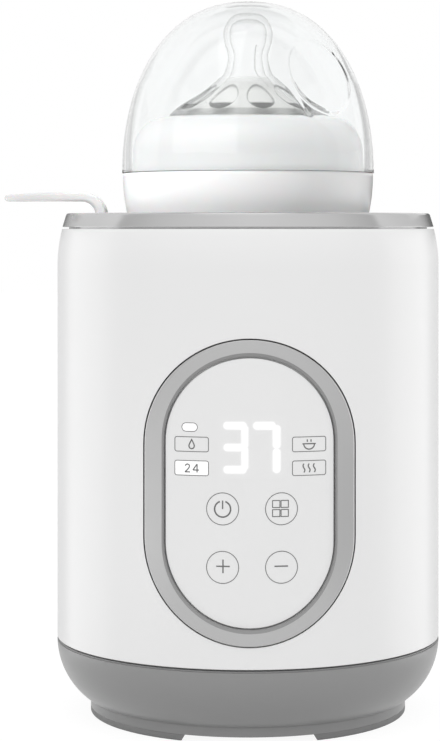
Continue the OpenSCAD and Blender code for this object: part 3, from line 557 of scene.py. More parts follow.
def front_plate(width, height, section, rings):
    """A closed slot-shaped plate: section points run from the front's edge round to the back's edge."""
    points, ways = slot_path(width, height)
    half = (height - width) / 2
    spine = np.column_stack((np.zeros(len(points)), np.clip(points[:, 1], -half, half)))

    def row(d, r, share):
        edge = points + d * ways
        at = spine + (edge - spine) * share
        return on_front(at[:, 0], at[:, 1] + PANEL_Z, r)

    rows = [row(*section[0], s) for s in np.linspace(0, 1, rings, endpoint=False)]
    rows += [row(d, r, 1) for d, r in section]
    rows += [row(*section[-1], s) for s in np.linspace(1, 0, rings)[1:]]
    return skin(np.array(rows), wrap_rows=False)


def stepped(path, step=0.7, closed=False):
    """A path with no piece longer than a step."""
    p = np.array(path, float)
    ends = np.vstack((p, p[:1])) if closed else p
    out = []
    for a, b in zip(ends, ends[1:]):
        n = math.ceil(np.linalg.norm(b - a) / step - 1e-6)
        out += [a + (b - a) * k / n for k in range(n)]
    if not closed:
        out.append(p[-1])
    return np.array(out)


def ink_line(path, width, closed=False):
    """A printed line along a path of (x, level) on the panel, a few hundredths of a millimetre thick."""
    p = stepped(path, closed=closed)
    if closed:
        back, ahead = np.roll(p, 1, 0), np.roll(p, -1, 0)
    else:
        back, ahead = np.vstack((2 * p[0] - p[1], p[:-1])), np.vstack((p[1:], 2 * p[-1] - p[-2]))
    one = (p - back) / np.linalg.norm(p - back, axis=1, keepdims=True)
    two = (ahead - p) / np.linalg.norm(ahead - p, axis=1, keepdims=True)
    way = one + two
    way /= np.linalg.norm(way, axis=1, keepdims=True)
    reach_out = width / 2 / np.maximum((way * one).sum(1, keepdims=True), 0.5)
    side = np.column_stack((-way[:, 1], way[:, 0])) * reach_out
    left, right = p + side, p - side
    edges = (left, INK_OVER), (right, INK_OVER), (right, -INK_UNDER), (left, -INK_UNDER)
    rows = np.array([on_front(*q.T, PANEL_R + h) for q, h in edges])
    points, faces = skin(rows, wrap_columns=closed)
    if not closed:
        m = len(p)
        faces += [(0, m, 2 * m, 3 * m), (m - 1, 2 * m - 1, 3 * m - 1, 4 * m - 1)]
    return points, faces


def box_path(x, z, width, height, corner, steps=5):
    """Points round an upright box with rounded corners."""
    u, v = width / 2, height / 2
    corners = [(x + u, z - v), (x + u, z + v), (x - u, z + v), (x - u, z - v)]
    return rounded([c + (corner,) for c in corners], steps)


def ring_path(x, z, r, start=0.0, end=360.0, steps=48):
    """Points round a circle, or along a part of one, in degrees from the right."""
    a = np.radians(np.linspace(start, end, steps + 1))
    if end - start == 360:
        a = a[:-1]
    return np.column_stack((x + r * np.cos(a), z + r * np.sin(a)))


def ink_sheet(x, z):
    """A thin closed sheet on the panel over a net of x and level values."""
    across = np.concatenate((x, x[::-1]))
    r = np.repeat((PANEL_R + GLOW_OVER, PANEL_R - INK_UNDER), len(x))
    rows = [on_front(across, level, r) for level in z]
    ends = [on_front(across, level, PANEL_R) for level in (z[0], z[-1])]
    return skin(np.array(ends[:1] + rows + ends[1:]), wrap_rows=False)


class WARMER_OT_base(bpy.types.Operator):
    """Grey bowl under the housing, with the cord's outlet at the back"""

    bl_idname = "warmer.base"
    bl_label = "Base bowl"

    def execute(self, context):
        sizes = context.scene.warmer_sizes
        foot, seam = low("base"), SEAM_LOW - SEAM
        bend, wall = 20.34, 2.8
        middle = BODY_R - bend
        outer = bow(middle, seam, bend, -55.4, -1.2, 40)
        inner = bow(middle, seam, bend - wall, -10, -56, 24)
        # A lip stands up inside the housing
        far, near, lip_z = 52.65, 51.25, 24.6
        lip = [(BODY_R, seam, sizes.edge / MM), (far, seam, 0.1), (far, lip_z, 0.3), (near, lip_z, 0.3)]
        lip = rounded(lip + [(near, 18.3, 0)])
        outline = np.vstack((outer, lip, inner, [(35.0, 6.8), (35.0, foot), (46.0, foot)]))
        bowl = solid("base", turned(outline, sizes.columns), "grey_abs")
        boss = rounded([(0.0, 44.6, 0), (6.6, 44.6, 0.3), (6.6, 55.0, 0.8), (0.0, 55.0, 0)])
        carve(bowl, solid("boss", along_cord(boss), "grey_abs"), "UNION")
        bore = [(0, 40.0), (4.6, 40.0), (4.6, 60.0), (0, 60.0)]
        carve(bowl, solid("bore", along_cord(bore), "grey_abs"))
        settle(bowl, "warmer", "grey_abs", "base")
        return {"FINISHED"}


class WARMER_OT_foot(bpy.types.Operator):
    """Rubber foot ring, open at the front, and the cord's bushing"""

    bl_idname = "warmer.foot"
    bl_label = "Rubber foot and bushing"

    def execute(self, context):
        sizes = context.scene.warmer_sizes
        thick, wide = top("foot_pad"), reach("foot_pad")
        section = rounded(
            [(wide - 8, 0.0, 0.4), (wide, 0.0, 0.5), (wide, thick, 0.2), (wide - 8, thick, 0.2)], 4
        )
        # Half of the opening at the front, which widens downward
        gap, flare = 17.4, 0.6
        n, m = len(section), sizes.columns
        share = np.linspace(0, 1, m)
        rows = []
        for r, z in section:
            end = math.asin((gap + flare * (thick - z)) / r)
            a = end + (2 * math.pi - 2 * end) * share
            rows.append(np.column_stack((r * np.sin(a), -r * np.cos(a), np.full(m, z))))
        points, faces = skin(np.array(rows), wrap_columns=False)
        faces += [tuple(i * m for i in range(n)), tuple(i * m + m - 1 for i in range(n))]
        fitted("foot_pad", (points, faces), "foot_rubber", "warmer", "foot_pad")
        bush = rounded(
            [
                (3.1, 43.4, 0.3), (5.6, 43.4, 0.3), (5.6, 44.6, 0.1), (4.45, 44.6, 0),
                (4.45, 55.0, 0), (5.6, 55.0, 0.1), (5.2, 56.2, 0.4), (3.1, 56.2, 0.4),
            ],
            4,
        )
        fitted("cord_grommet", along_cord(bush), "grommet_rubber", "warmer", "cord_grommet")
        return {"FINISHED"}


class WARMER_OT_housing(bpy.types.Operator):
    """White housing with the opening for the bezel, and the silver rim on it"""

    bl_idname = "warmer.housing"
    bl_label = "Housing and rim"

    def execute(self, context):
        sizes = context.scene.warmer_sizes
        edge = sizes.edge / MM
        # The wall is upright up to a level, from which it draws in
        draw, bend, inside = SEAM_HIGH + 0.25 - 11.0, 43.9, 52.8
        turn = math.degrees(math.asin((SEAM_HIGH - edge - draw) / bend))
        foot = rounded([(inside, SEAM_LOW, 0), (BODY_R, SEAM_LOW, edge), (BODY_R, draw, 0)])[:-1]
        wall = [(BODY_R, z) for z in np.linspace(30, draw - 8, 12)]
        outer = np.vstack((foot, wall, bow(BODY_R - bend, draw, bend, 0, turn, 14)))
        r, z = outer[-1]
        shoulder = rounded([(r, z, 0), (r - 0.12, SEAM_HIGH, edge), (51.8, SEAM_HIGH, 0.2), (51.8, 134.4, 0)])
        outline = np.vstack((outer, shoulder[1:], [(46.6, 134.4), (46.6, 132.4), (inside, 132.4)]))
        shell = solid("housing", turned(outline, sizes.columns), "white_abs")
        seam = sizes.seam / MM
        opening = front_plate(BEZEL_W, BEZEL_H, [(seam, 75.0), (seam, 40.0)], 3)
        carve(shell, solid("opening", opening, "white_abs"))
        self.round_normals(shell.data)
        settle(shell, "warmer", "white_abs", "housing")
        seat, crown = SEAM_HIGH + SEAM, top("top_rim")
        band = rounded(
            [
                (45.2, seat, 0.3), (50.2, seat, 0), (50.2, 136.6, 0), (51.65, 136.6, 0), (51.65, seat, 0.1),
                (53.6, seat, 0.15), (52.4, crown, 0.8), (45.2, crown, 0.8),
            ],
            8,
        )
        fitted("top_rim", turned(band, sizes.columns), "rim_abs", "warmer", "top_rim")
        return {"FINISHED"}

    def round_normals(self, mesh):
        """Gives the outer wall a true cylinder's normals, so that the cut leaves no creases in its shine."""
        normals = np.zeros(len(mesh.loops) * 3)
        mesh.corner_normals.foreach_get("vector", normals)
        normals = normals.reshape(-1, 3)
        places = np.zeros(len(mesh.vertices) * 3)
        mesh.vertices.foreach_get("co", places)
        places = places.reshape(-1, 3) / MM
        for face in mesh.polygons:
            away = math.hypot(face.center.x, face.center.y)
            out = face.normal.x * face.center.x + face.normal.y * face.center.y
            # Only upright faces of the wall that look outward
            if away < (BODY_R - 0.2) * MM or abs(face.normal.z) > 0.02 or out < 0.98 * away:
                continue
            for loop in face.loop_indices:
                x, y = places[mesh.loops[loop].vertex_index][:2]
                if math.hypot(x, y) > BODY_R - 0.01:
                    normals[loop] = np.array((x, y, 0)) / math.hypot(x, y)
        mesh.normals_split_custom_set(normals.tolist())


class WARMER_OT_panel(bpy.types.Operator):
    """Silver bezel and the touch panel inside it"""

    bl_idname = "warmer.panel"
    bl_label = "Bezel and touch panel"

    def execute(self, context):
        r = BEZEL_R
        outer, inner = (BEZEL_W, BEZEL_H), (PANEL_W + 0.3, PANEL_H + 0.3)
        lip = (inner[0] + 1.5, inner[1] + 2.2)
        section = [(outer, 0.0, 52.4), (outer, 0.0, r - 0.4)]
        for a in np.radians([15, 45, 75]):
            section.append((outer, -0.35 + 0.35 * math.cos(a), r - 0.35 + 0.35 * math.sin(a)))
        section += [(outer, -0.35, r), (lip, 0.1, r), (lip, 0.0, r - 0.06), (inner, 0.4, r - 0.4)]
        section += [(inner, 0.15, r - 0.9), (inner, 0.1, 53.2), (inner, -1.5, 53.0), (inner, -1.5, 52.4)]
        fitted("bezel", front_band(section), "bezel_satin", "warmer", "bezel", crease=24.0)
        # A grey band over the lip's slope inside the bezel: painted shade round the panel
        bare = [(lip, 0.05, r - 0.01), (inner, 0.38, r - 0.34), (inner, 0.3, r - 0.8), (lip, 0.05, r - 0.5)]
        fitted("bezel_lip", front_band(bare), "grey_abs", "warmer", crease=24.0)
        edge = [(-0.3, PANEL_R), (-0.16, PANEL_R - 0.06), (-0.1, PANEL_R - 0.2), (-0.1, PANEL_R - 1.7)]
        plate = front_plate(PANEL_W, PANEL_H, edge, 14)
        fitted("touch_panel", plate, "panel_gloss", "warmer", "touch_panel")
        return {"FINISHED"}


class WARMER_OT_marks(bpy.types.Operator):
    """Printed key rings, signs and boxes on the panel, and the lit digits behind it"""

    bl_idname = "warmer.marks"
    bl_label = "Panel marks and digits"

    # Centres of the key rings and of the boxes beside the digits, as (x, x) and (level, level)
    KEYS = (-7.2, 8.41), (64.46, 48.98)
    BOXES = (-15.43, 15.79), (81.42, 75.1)
    LAMP = (-15.96, 85.95)
    # Width, height and corner radius of the boxes and of the lamp
    BOX_SIZE, LAMP_SIZE = (8.95, 3.88, 0.55), (4.1, 2.25, 1.1)
    # Line widths of the signs in the key rings and in the boxes
    KEY_LINE, WINDOW_LINE, SIGN_LINE = 0.36, 0.24, 0.32
    # Lit bars of the two digits: x and level of both ends, and width
    BARS = (
        (-6.65, 86.5, -1.2, 86.5, 1.35), (-6.6, 80.73, -2.0, 80.73, 1.3), (-6.65, 74.87, -1.2, 74.87, 1.35),
        (-1.33, 86.3, -1.33, 80.85, 1.15), (-1.33, 80.6, -1.33, 75.1, 1.15),
        (1.2, 86.48, 6.5, 86.48, 1.4), (7.11, 86.3, 7.11, 80.75, 1.4), (7.11, 80.1, 7.11, 74.3, 1.4),
    )

    def execute(self, context):
        sizes = context.scene.warmer_sizes
        line = sizes.mark_line / MM
        settle(self.key_rings(sizes), "warmer", "panel_gloss")
        parts = self.key_signs() + self.box_signs()
        for x in self.BOXES[0]:
            for z in self.BOXES[1]:
                parts.append(ink_line(box_path(x, z, *self.BOX_SIZE), line, closed=True))
        parts.append(ink_line(box_path(*self.LAMP, *self.LAMP_SIZE, 10), line, closed=True))
        settle(solid("panel_marks", joined(*parts), "print_grey"), "warmer", "panel_gloss")
        settle(self.digits(sizes), "warmer", "led_white")
        return {"FINISHED"}

    def key_signs(self):
        """Signs in the key rings: on and off, four windows, plus and minus."""
        (left, right), (high, deep) = self.KEYS
        plus, span = deep + 0.28, 1.8
        parts = [
            ink_line(ring_path(left, high - 0.05, 2.12, 110, 430), 0.4),
            ink_line([(left, high + 2.2), (left, high - 0.05)], 0.34),
            ink_line([(left + 0.1 - span, plus), (left + 0.1 + span, plus)], self.KEY_LINE),
            ink_line([(left + 0.1, plus - span), (left + 0.1, plus + span)], self.KEY_LINE),
            ink_line([(right - 0.07 - span, plus), (right - 0.07 + span, plus)], self.KEY_LINE),
        ]
        for u in (-1.13, 1.13):
            for v in (-1.2, 1.2):
                window = box_path(right - 0.28 + u, high + 0.08 + v, 1.95, 1.85, 0.05, 2)
                parts.append(ink_line(window, self.WINDOW_LINE, closed=True))
        return parts

    def box_signs(self):
        """Plain signs in the boxes: a drop, a number of hours, a bowl and rising steam."""
        (left, right), (high, deep) = self.BOXES
        half = smooth([(0, 1.25), (0.5, 0.25), (0.72, -0.4), (0.5, -1.0), (0, -1.2)], 0.3)
        drop = np.vstack((half, half[::-1] * (-1, 1)))[:-1]
        two = smooth([(-1.75, 0.6), (-1.15, 1.05), (-0.55, 0.6), (-0.95, -0.25), (-1.75, -1.05)], 0.25)
        bowl = bow(0, 0.1, 1.45, 180, 360, 16)
        t = np.linspace(0, 1, 13)
        steam = np.column_stack((0.25 * np.sin(2 * math.pi * t), 2.3 * t - 1.15))
        lines = [
            (left, high, drop), (left, deep, two), (left, deep, [(-1.8, -1.05), (-0.4, -1.05)]),
            (left, deep, [(1.45, -1.15), (1.45, 1.1)]), (left, deep, [(1.45, 1.1), (0.35, -0.5)]),
            (left, deep, [(0.35, -0.5), (1.95, -0.5)]), (right, high, bowl),
            (right, high, [(-1.8, 0.1), (1.8, 0.1)]), (right, high, [(-0.5, 0.6), (-0.5, 1.25)]),
            (right, high, [(0.5, 0.6), (0.5, 1.25)]),
        ]
        lines += [(right, deep, steam + (u, 0)) for u in (-1.4, 0.0, 1.4)]
        return [ink_line(np.array(p) + (x, z), self.SIGN_LINE, closed=p is drop) for x, z, p in lines]

    def digits(self, sizes):
        """Two lit digits, the lit box and the lit lamp, each fading out at its edges."""
        x, z = self.BOXES[0][0], self.BOXES[1][1]
        u, v = self.LAMP
        digits = ink_sheet(np.linspace(-8.9, 9.9, 95), np.linspace(72.4, 89.2, 85))
        lamp = ink_sheet(np.linspace(u - 2.3, u + 2.3, 47), np.linspace(v - 1.3, v + 1.3, 27))
        box = ink_sheet(np.linspace(x - 4.4, x + 4.4, 12), (z - 1.86, z, z + 1.86))
        crisp = 0.05
        sheets = [
            (digits, self.BARS, sizes.digit_fade / MM),
            (lamp, [(u - 2.05, v, u + 2.05, v, 2.25)], crisp),
            (box, [(x - 9, z, x + 9, z, 9)], crisp),
        ]
        glows = [self.glow(part[0], bars, fade) for part, bars, fade in sheets]
        return solid("digits", joined(*(s[0] for s in sheets)), "lit_white", glow=np.concatenate(glows))

    def glow(self, points, bars, fade):
        """Light at each point: full inside the round-ended bars, fading outside them, with a faint halo."""
        nearest = np.full(len(points), 99.0)
        at = points[:, ::2]
        for x0, z0, x1, z1, wide in bars:
            start, end = np.array((x0, z0)), np.array((x1, z1))
            way = (end - start) / np.linalg.norm(end - start)
            run = np.clip((at - start) @ way, wide / 2, np.linalg.norm(end - start) - wide / 2)
            off = np.linalg.norm(at - start - run[:, None] * way, axis=1)
            nearest = np.minimum(nearest, off - wide / 2)
        gap, halo = np.maximum(nearest, 0), 0.06
        return np.maximum(np.exp(-((gap / fade) ** 2)), halo * np.exp(-gap / (4 * fade)))

    def key_rings(self, sizes):
        """Four printed rings, one round each touch key, laid on the curve of the panel."""
        (left, right), (high, deep) = self.KEYS
        values = {
            "Ring diameter": sizes.key_ring, "Line width": sizes.mark_line,
            "Pitch X": (right - left) * MM, "Pitch Z": (high - deep) * MM,
            "Middle X": (left + right) / 2 * MM, "Middle Z": (high + deep) / 2 * MM,
            "Panel radius": PANEL_R * MM,
        }
        tree, given = grow_tree("key_rings", values)
        grid = {"Size X": given["Pitch X"], "Size Y": given["Pitch Z"], "Vertices X": 2, "Vertices Y": 2}
        keys = add(tree, "GeometryNodeMeshGrid", grid).outputs["Mesh"]
        half = calc(tree, "MULTIPLY", given["Ring diameter"], 0.5)
        circle = add(tree, "GeometryNodeCurvePrimitiveCircle", {"Resolution": 72, "Radius": half}).outputs[0]
        bar = {"Width": given["Line width"], "Height": (INK_OVER + INK_UNDER) * MM}
        bar = add(tree, "GeometryNodeCurvePrimitiveQuadrilateral", bar).outputs[0]
        hoop = add(tree, "GeometryNodeCurveToMesh", {"Curve": circle, "Profile Curve": bar}).outputs[0]
        rings = add(tree, "GeometryNodeInstanceOnPoints", {"Points": keys, "Instance": hoop}).outputs[0]
        at = point(tree)
        side = calc(tree, "ADD", at["X"], given["Middle X"])
        forward = calc(tree, "ADD", arc_depth(tree, given["Panel radius"], side), at["Z"])
        up = calc(tree, "ADD", at["Y"], given["Middle Z"])
        return grown(tree, given, bent(tree, rings, side, forward, up), values, "print_grey")


class WARMER_OT_basket(bpy.types.Operator):
    """Lifting basket: slotted tray, leg and the handle that hooks over the rim"""

    bl_idname = "warmer.basket"
    bl_label = "Lifting basket"

    # Radius of the tray, and height of the feet under its floor
    TRAY_R, FEET = 44.0, 1.6

    def execute(self, context):
        sizes = context.scene.warmer_sizes
        foot = low("lifting_basket")
        far, near = self.TRAY_R, self.TRAY_R - 2.0
        under, floor, brim = foot + self.FEET, foot + 4.0, foot + 12.0
        outline = rounded(
            [
                (0.0, under, 0), (near, under, 0.4), (near, foot, 0.3), (far, foot, 0.4),
                (far, brim, 0.9), (near, brim, 0.9), (near, floor, 1.0), (0.0, floor, 0),
            ]
        )
        tray = solid("lifting_basket", turned(outline, sizes.columns), "basket_pp")
        carve(tray, solid("strap", self.strap(foot), "basket_pp"), "UNION")
        slots = [self.slot(a, foot) for a in np.arange(22.5, 360, 45)]
        carve(tray, solid("slots", joined(*slots), "basket_pp"))
        notches = [self.notch(a, foot) for a in range(0, 360, 60)]
        carve(tray, solid("notches", joined(*notches), "basket_pp"))
        settle(tray, "basket", "basket_pp", "lifting_basket")
        return {"FINISHED"}

    def strap(self, foot):
        """Leg up the tank's wall, bend over the rim and handle out to its rounded tip."""
        # Level of the handle's underside, inner radius of the bend, half width, reach and thickness
        under, turn, wide, tip, leg = 146.5, 4.2, 7.5, 70.3, 2.6
        bend_r, bend_z, mid = self.TRAY_R + turn, under - turn, turn + leg / 2
        path = [(self.TRAY_R - leg / 2, z, 1, 0, leg) for z in np.linspace(foot + 6, bend_z, 30)]
        for a in np.radians(np.linspace(180, 90, 15)[1:]):
            u, v = math.cos(a), math.sin(a)
            path.append((bend_r + mid * u, bend_z + mid * v, -u, -v, leg))
        # The handle thins towards its nose, whose corners are rounded
        nose, corner = 0.9, 6
        for s in np.linspace(0, 1, 26)[1:]:
            t = leg + (2 * nose - leg) * s**3
            path.append((bend_r + (tip - nose - bend_r) * s, under + t / 2, 0, -1, t))
        for a in np.radians((25, 45, 62, 76, 84)):
            path.append((tip - nose + nose * math.sin(a), under + nose, 0, -1, 2 * nose * math.cos(a)))
        rows = []
        for r, z, nr, nz, t in path:
            w = wide
            if r > tip - corner:
                w = wide - corner + math.sqrt(max(corner**2 - (r - tip + corner) ** 2, 0.01))
            c = min(0.75, 0.46 * t)
            loop = rounded([(w, -t / 2, c), (w, t / 2, c), (-w, t / 2, c), (-w, -t / 2, c)], 4)
            flat = np.linspace(-w + c, w - c, 12)[1:-1]
            cut = len(loop) // 2
            back = np.column_stack((flat[::-1], np.full(10, t / 2)))
            front = np.column_stack((flat, np.full(10, -t / 2)))
            loop = np.vstack((loop[:cut], back, loop[cut:], front))
            rr, zz = r - nr * loop[:, 1], z - nz * loop[:, 1]
            rows.append(np.column_stack((-np.sqrt(np.maximum(rr**2 - loop[:, 0] ** 2, 1)), loop[:, 0], zz)))
        return capped(np.array(rows))

    def slot(self, angle, foot):
        """One water slot through the tray's floor."""
        width, length, middle = 5.0, 27.0, 25.5
        path = slot_path(width, length, 16, 6)[0]
        rows = np.array([np.column_stack((path, np.full(len(path), z))) for z in (foot, foot + 6)])
        rows[..., 1] += middle
        a = math.radians(angle)
        x, y = rows[..., 0].copy(), rows[..., 1].copy()
        rows[..., 0], rows[..., 1] = x * math.cos(a) - y * math.sin(a), x * math.sin(a) + y * math.cos(a)
        return capped(rows)

    def notch(self, angle, foot):
        """One gap between the feet under the tray's wall."""
        a = math.radians(angle)
        out, side = np.array((math.cos(a), math.sin(a), 0)), np.array((-math.sin(a), math.cos(a), 0))
        corners = (30, -8), (50, -8), (50, 8), (30, 8)
        levels = foot - 1, foot + self.FEET
        return capped(np.array([[out * r + side * s + (0, 0, z) for r, s in corners] for z in levels]))


class WARMER_OT_bottle(bpy.types.Operator):
    """Clear wide-neck bottle with its thread and graduation marks"""

    bl_idname = "warmer.bottle"
    bl_label = "Bottle"

    # Radii of the body and of the neck
    BODY, NECK = 33.0, 26.2

    def execute(self, context):
        sizes = context.scene.warmer_sizes
        # Thickness of the wall, and radii of the bends at heel, shoulder and lip
        wall, heel, shoulder, lip = 1.8, 5.0, 5.8, 0.6
        foot = low("bottle")
        neck = [(30.1, foot + 95.02), (28.2, foot + 96.6), (26.6, foot + 98.6), (self.NECK, foot + 101.6)]
        outline = np.vstack(
            (
                [(0.0, foot + 1.2), (20.0, foot + 0.8), (24.0, foot)],
                bow(self.BODY - heel, foot + heel, heel, -90, 0, 10),
                bow(self.BODY - shoulder, foot + 90, shoulder, 0, 60, 10),
                smooth(neck, 0.6)[1:],
                bow(self.NECK - lip, MOUTH - lip, lip, 0, 90, 5),
                bow(self.NECK - wall + lip, MOUTH - lip, lip, 90, 180, 5),
                [(24.4, foot + 101.6), (25.6, foot + 97.6)],
                bow(self.BODY - shoulder, foot + 90, shoulder - wall, 60, 0, 8),
                bow(self.BODY - heel, foot + heel, heel - wall, 0, -90, 8),
                [(20.0, foot + 2.6), (0.0, foot + 3.0)],
            )
        )
        body = skin(revolve(outline, sizes.columns), wrap_rows=False)
        fitted("bottle", body, "bottle_clear", "bottle", "bottle")
        settle(self.thread(sizes), "bottle", "bottle_clear")
        settle(self.ticks(sizes), "bottle", "bottle_clear")
        return {"FINISHED"}

    def thread(self, sizes):
        """Two turns of a round bead up the neck."""
        values = {
            "Neck radius": self.NECK * MM, "Bead": sizes.thread, "Rise": 12.0 * MM, "Turns": 2.0,
            "Start": (MOUTH - 16.0) * MM,
        }
        tree, given = grow_tree("neck_thread", values)
        ends = {"Start Radius": given["Neck radius"], "End Radius": given["Neck radius"]}
        spiral = {"Resolution": 72, "Rotations": given["Turns"], "Height": given["Rise"], **ends}
        spiral = add(tree, "GeometryNodeCurveSpiral", spiral).outputs[0]
        bead = {"Resolution": 10, "Radius": given["Bead"]}
        bead = add(tree, "GeometryNodeCurvePrimitiveCircle", bead).outputs[0]
        body = {"Curve": spiral, "Profile Curve": bead, "Fill Caps": True}
        body = add(tree, "GeometryNodeCurveToMesh", body).outputs[0]
        lift = add(tree, "ShaderNodeCombineXYZ", {"Z": given["Start"]}).outputs[0]
        placed = add(tree, "GeometryNodeTransform", {"Geometry": body, "Translation": lift}).outputs[0]
        return grown(tree, given, placed, values, "bottle_clear")

    def ticks(self, sizes):
        """Raised graduation marks up the front of the bottle, long ones and short ones by turns."""
        values = {
            "Count": 13, "Step": 6.0 * MM, "Start": (low("bottle") + 16.0) * MM, "Height": sizes.tick,
            "Bottle radius": self.BODY * MM,
        }
        tree, given = grow_tree("graduation", values)
        first = add(tree, "ShaderNodeCombineXYZ", {"Z": given["Start"]}).outputs[0]
        step = add(tree, "ShaderNodeCombineXYZ", {"Z": given["Step"]}).outputs[0]
        marks = {"Count": given["Count"], "Start Location": first, "Offset": step}
        marks = add(tree, "GeometryNodeMeshLine", marks, mode="OFFSET").outputs[0]
        deep = 0.001
        bar = {"Size": (0.008, deep, 0.0007), "Vertices X": 9}
        bar = add(tree, "GeometryNodeMeshCube", bar).outputs["Mesh"]
        odd = calc(tree, "MODULO", add(tree, "GeometryNodeInputIndex").outputs[0], 2.0)
        scale = {"X": ranged(tree, odd, 0.0, 1.0, 1.0, 0.55), "Y": 1.0, "Z": 1.0}
        scale = add(tree, "ShaderNodeCombineXYZ", scale).outputs[0]
        bars = {"Points": marks, "Instance": bar, "Scale": scale}
        bars = add(tree, "GeometryNodeInstanceOnPoints", bars).outputs[0]
        at = point(tree)
        # The back of each bar sinks a little into the bottle's wall
        raised = ranged(tree, at["Y"], deep / 2, -deep / 2, -0.0002, 1.0)
        far = calc(tree, "ADD", given["Bottle radius"], calc(tree, "MULTIPLY", raised, given["Height"]))
        forward = arc_depth(tree, far, at["X"])
        return grown(tree, given, bent(tree, bars, at["X"], forward, at["Z"]), values, "bottle_clear")


class WARMER_OT_teat(bpy.types.Operator):
    """Silicone teat: flange, petalled skirt and nipple"""

    bl_idname = "warmer.teat"
    bl_label = "Teat"

    def execute(self, context):
        sizes = context.scene.warmer_sizes
        skirt, tip = MOUTH + 5.7, top("teat")
        outer = smooth(self.curve(0.0, skirt, tip), 0.3)
        inner = smooth(self.curve(1.7, skirt, tip), 0.9)[::-1]
        outer[-1, 0] = inner[0, 0] = 0.4
        flange = [(21.0, 0.0), (26.2, 0.0), (26.4, 0.2), (26.4, 2.0), (26.2, 2.2), (22.9, 2.2)]
        flange = np.array(flange) + (0, MOUTH)
        rows = revolve(np.vstack((flange, outer, inner)), 360)
        # Painted shade on the outer face, kept on each point as the mark named thick
        thick = np.zeros(rows.shape[:2])
        face = slice(len(flange), len(flange) + len(outer))
        thick[face] = self.petals(rows[face], outer, skirt, sizes.petal_sink / MM)
        milk = np.zeros(rows.shape[:2])
        milk[face.stop :] = 0.95 * np.clip((skirt + 13 - rows[face.stop :, :, 2]) / 6, 0, 1)
        marks = {"thick": thick, "milk": milk}
        fitted("teat", skin(rows), "teat_silicone", "teat", "teat", crease=50.0, **marks)
        return {"FINISHED"}

    def curve(self, w, skirt, tip):
        """Side of the teat, inset by a wall."""
        return [
            (22.7 - w, skirt + 0.5 - w), (19.6 - w, skirt + 3.2 - w), (12.6 - 0.8 * w, skirt + 7.6 - w),
            (7.5 - w, skirt + 12.4 - w / 2), (5.8 - w, skirt + 18), (6.9 - w, tip - 8.6),
            (6.9 - w, tip - 4.6), (4.3 - w / 2, tip - 0.8 - w), (0.0, tip - w),
        ]

    def petals(self, rows, outline, skirt, sink):
        """Sinks ten petals into the skirt and returns the painted shade on it: petal outlines and ends, hem
        and rib.
        """
        petals, first, slope = 10, 11.5, math.radians(33)
        half_long, half_wide, middle_r, middle_z = 6.4, 3.8, 15.9, 5.4
        across = np.gradient(outline, axis=0)
        across /= np.linalg.norm(across, axis=1, keepdims=True)
        out = np.column_stack((across[:, 1], -across[:, 0]))
        angle = np.arctan2(rows[..., 0], -rows[..., 1])
        deep = np.zeros(angle.shape)
        # Painted shade: a grey band along the hem at the skirt's foot
        thick = 0.5 * np.clip((skirt + 2.2 - rows[..., 2]) / 0.4, 0, 1)
        for i in range(petals):
            a = math.radians(first + 360 / petals * i)
            x = rows[..., 0] * math.cos(a) + rows[..., 1] * math.sin(a)
            y = -rows[..., 0] * math.sin(a) + rows[..., 1] * math.cos(a)
            v = (y + middle_r) * math.cos(slope) + (rows[..., 2] - skirt - middle_z) * math.sin(slope)
            s = v / half_long
            egg = 1 - np.hypot(x / (half_wide * (1 - 0.22 * s)), s)
            egg[y > 0] = -1
            t = np.clip(egg / 0.12, 0, 1)
            deep = np.maximum(deep, sink * t * t * (3 - 2 * t))
            # Painted shade: a grey line round each petal and a dark lower end
            line = 0.75 * np.exp(-(((egg - 0.05) / 0.05) ** 2))
            petal_painted_shade = 0.85 * np.clip((-s - 0.3) / 0.16, 0, 1) + 0.06
            thick = np.maximum(thick, np.maximum(line, np.where(egg > 0, petal_painted_shade, 0)))
        # A thin rib up the nipple, drawn only as a line of painted shade
        foot, head = skirt + 8.4, skirt + 21.3
        rib = np.interp(rows[..., 2], (foot, skirt + 14, head), np.radians((30, 17, 21)))
        off = np.abs(angle - rib) * np.hypot(rows[..., 0], rows[..., 1])
        tall = (rows[..., 2] > foot) & (rows[..., 2] < head)
        thick = np.maximum(thick, np.where(tall, 0.5 * np.exp(-((off / 0.2) ** 2)), 0))
        rows[..., 0] -= deep * out[:, :1] * np.sin(angle)
        rows[..., 1] += deep * out[:, :1] * np.cos(angle)
        rows[..., 2] -= deep * out[:, 1:]
        return thick


class WARMER_OT_ring(bpy.types.Operator):
    """White screw ring that holds the teat on the bottle"""

    bl_idname = "warmer.ring"
    bl_label = "Screw ring"

    def execute(self, context):
        sizes = context.scene.warmer_sizes
        foot, crown = low("screw_ring"), top("screw_ring")
        wide = reach("screw_ring")
        skirt = [(wide - 1.6, foot + 0.4), (wide - 0.5, foot + 6.4), (wide - 0.1, foot + 10.6)]
        skirt = smooth(skirt + [(wide, LEDGE - 0.5)], 0.8)
        plug = wide - 3.0
        dome = np.vstack(([(plug + 0.2, LEDGE)], bow(plug - 9.6, crown - 9.6, 9.6, 0, 88, 30)))
        inside = [
            (23.3, crown - 0.3), (23.3, MOUTH + 2.4), (26.8, MOUTH + 2.4), (26.8, foot + 0.3),
            (27.1, foot), (28.5, foot), (28.8, foot + 0.3), (28.8, LEDGE + 6.6), (30.2, LEDGE + 4.6),
            (31.5, LEDGE - 2.0), (33.7, foot + 6.4), (32.6, foot + 0.3), (32.9, foot), (wide - 1.9, foot),
        ]
        outline = np.vstack((skirt, [(wide - 0.15, LEDGE - 0.1), (wide - 0.5, LEDGE)], dome, inside))
        fitted("screw_ring", turned(outline, sizes.columns), "ring_pp", "ring", "screw_ring")
        return {"FINISHED"}


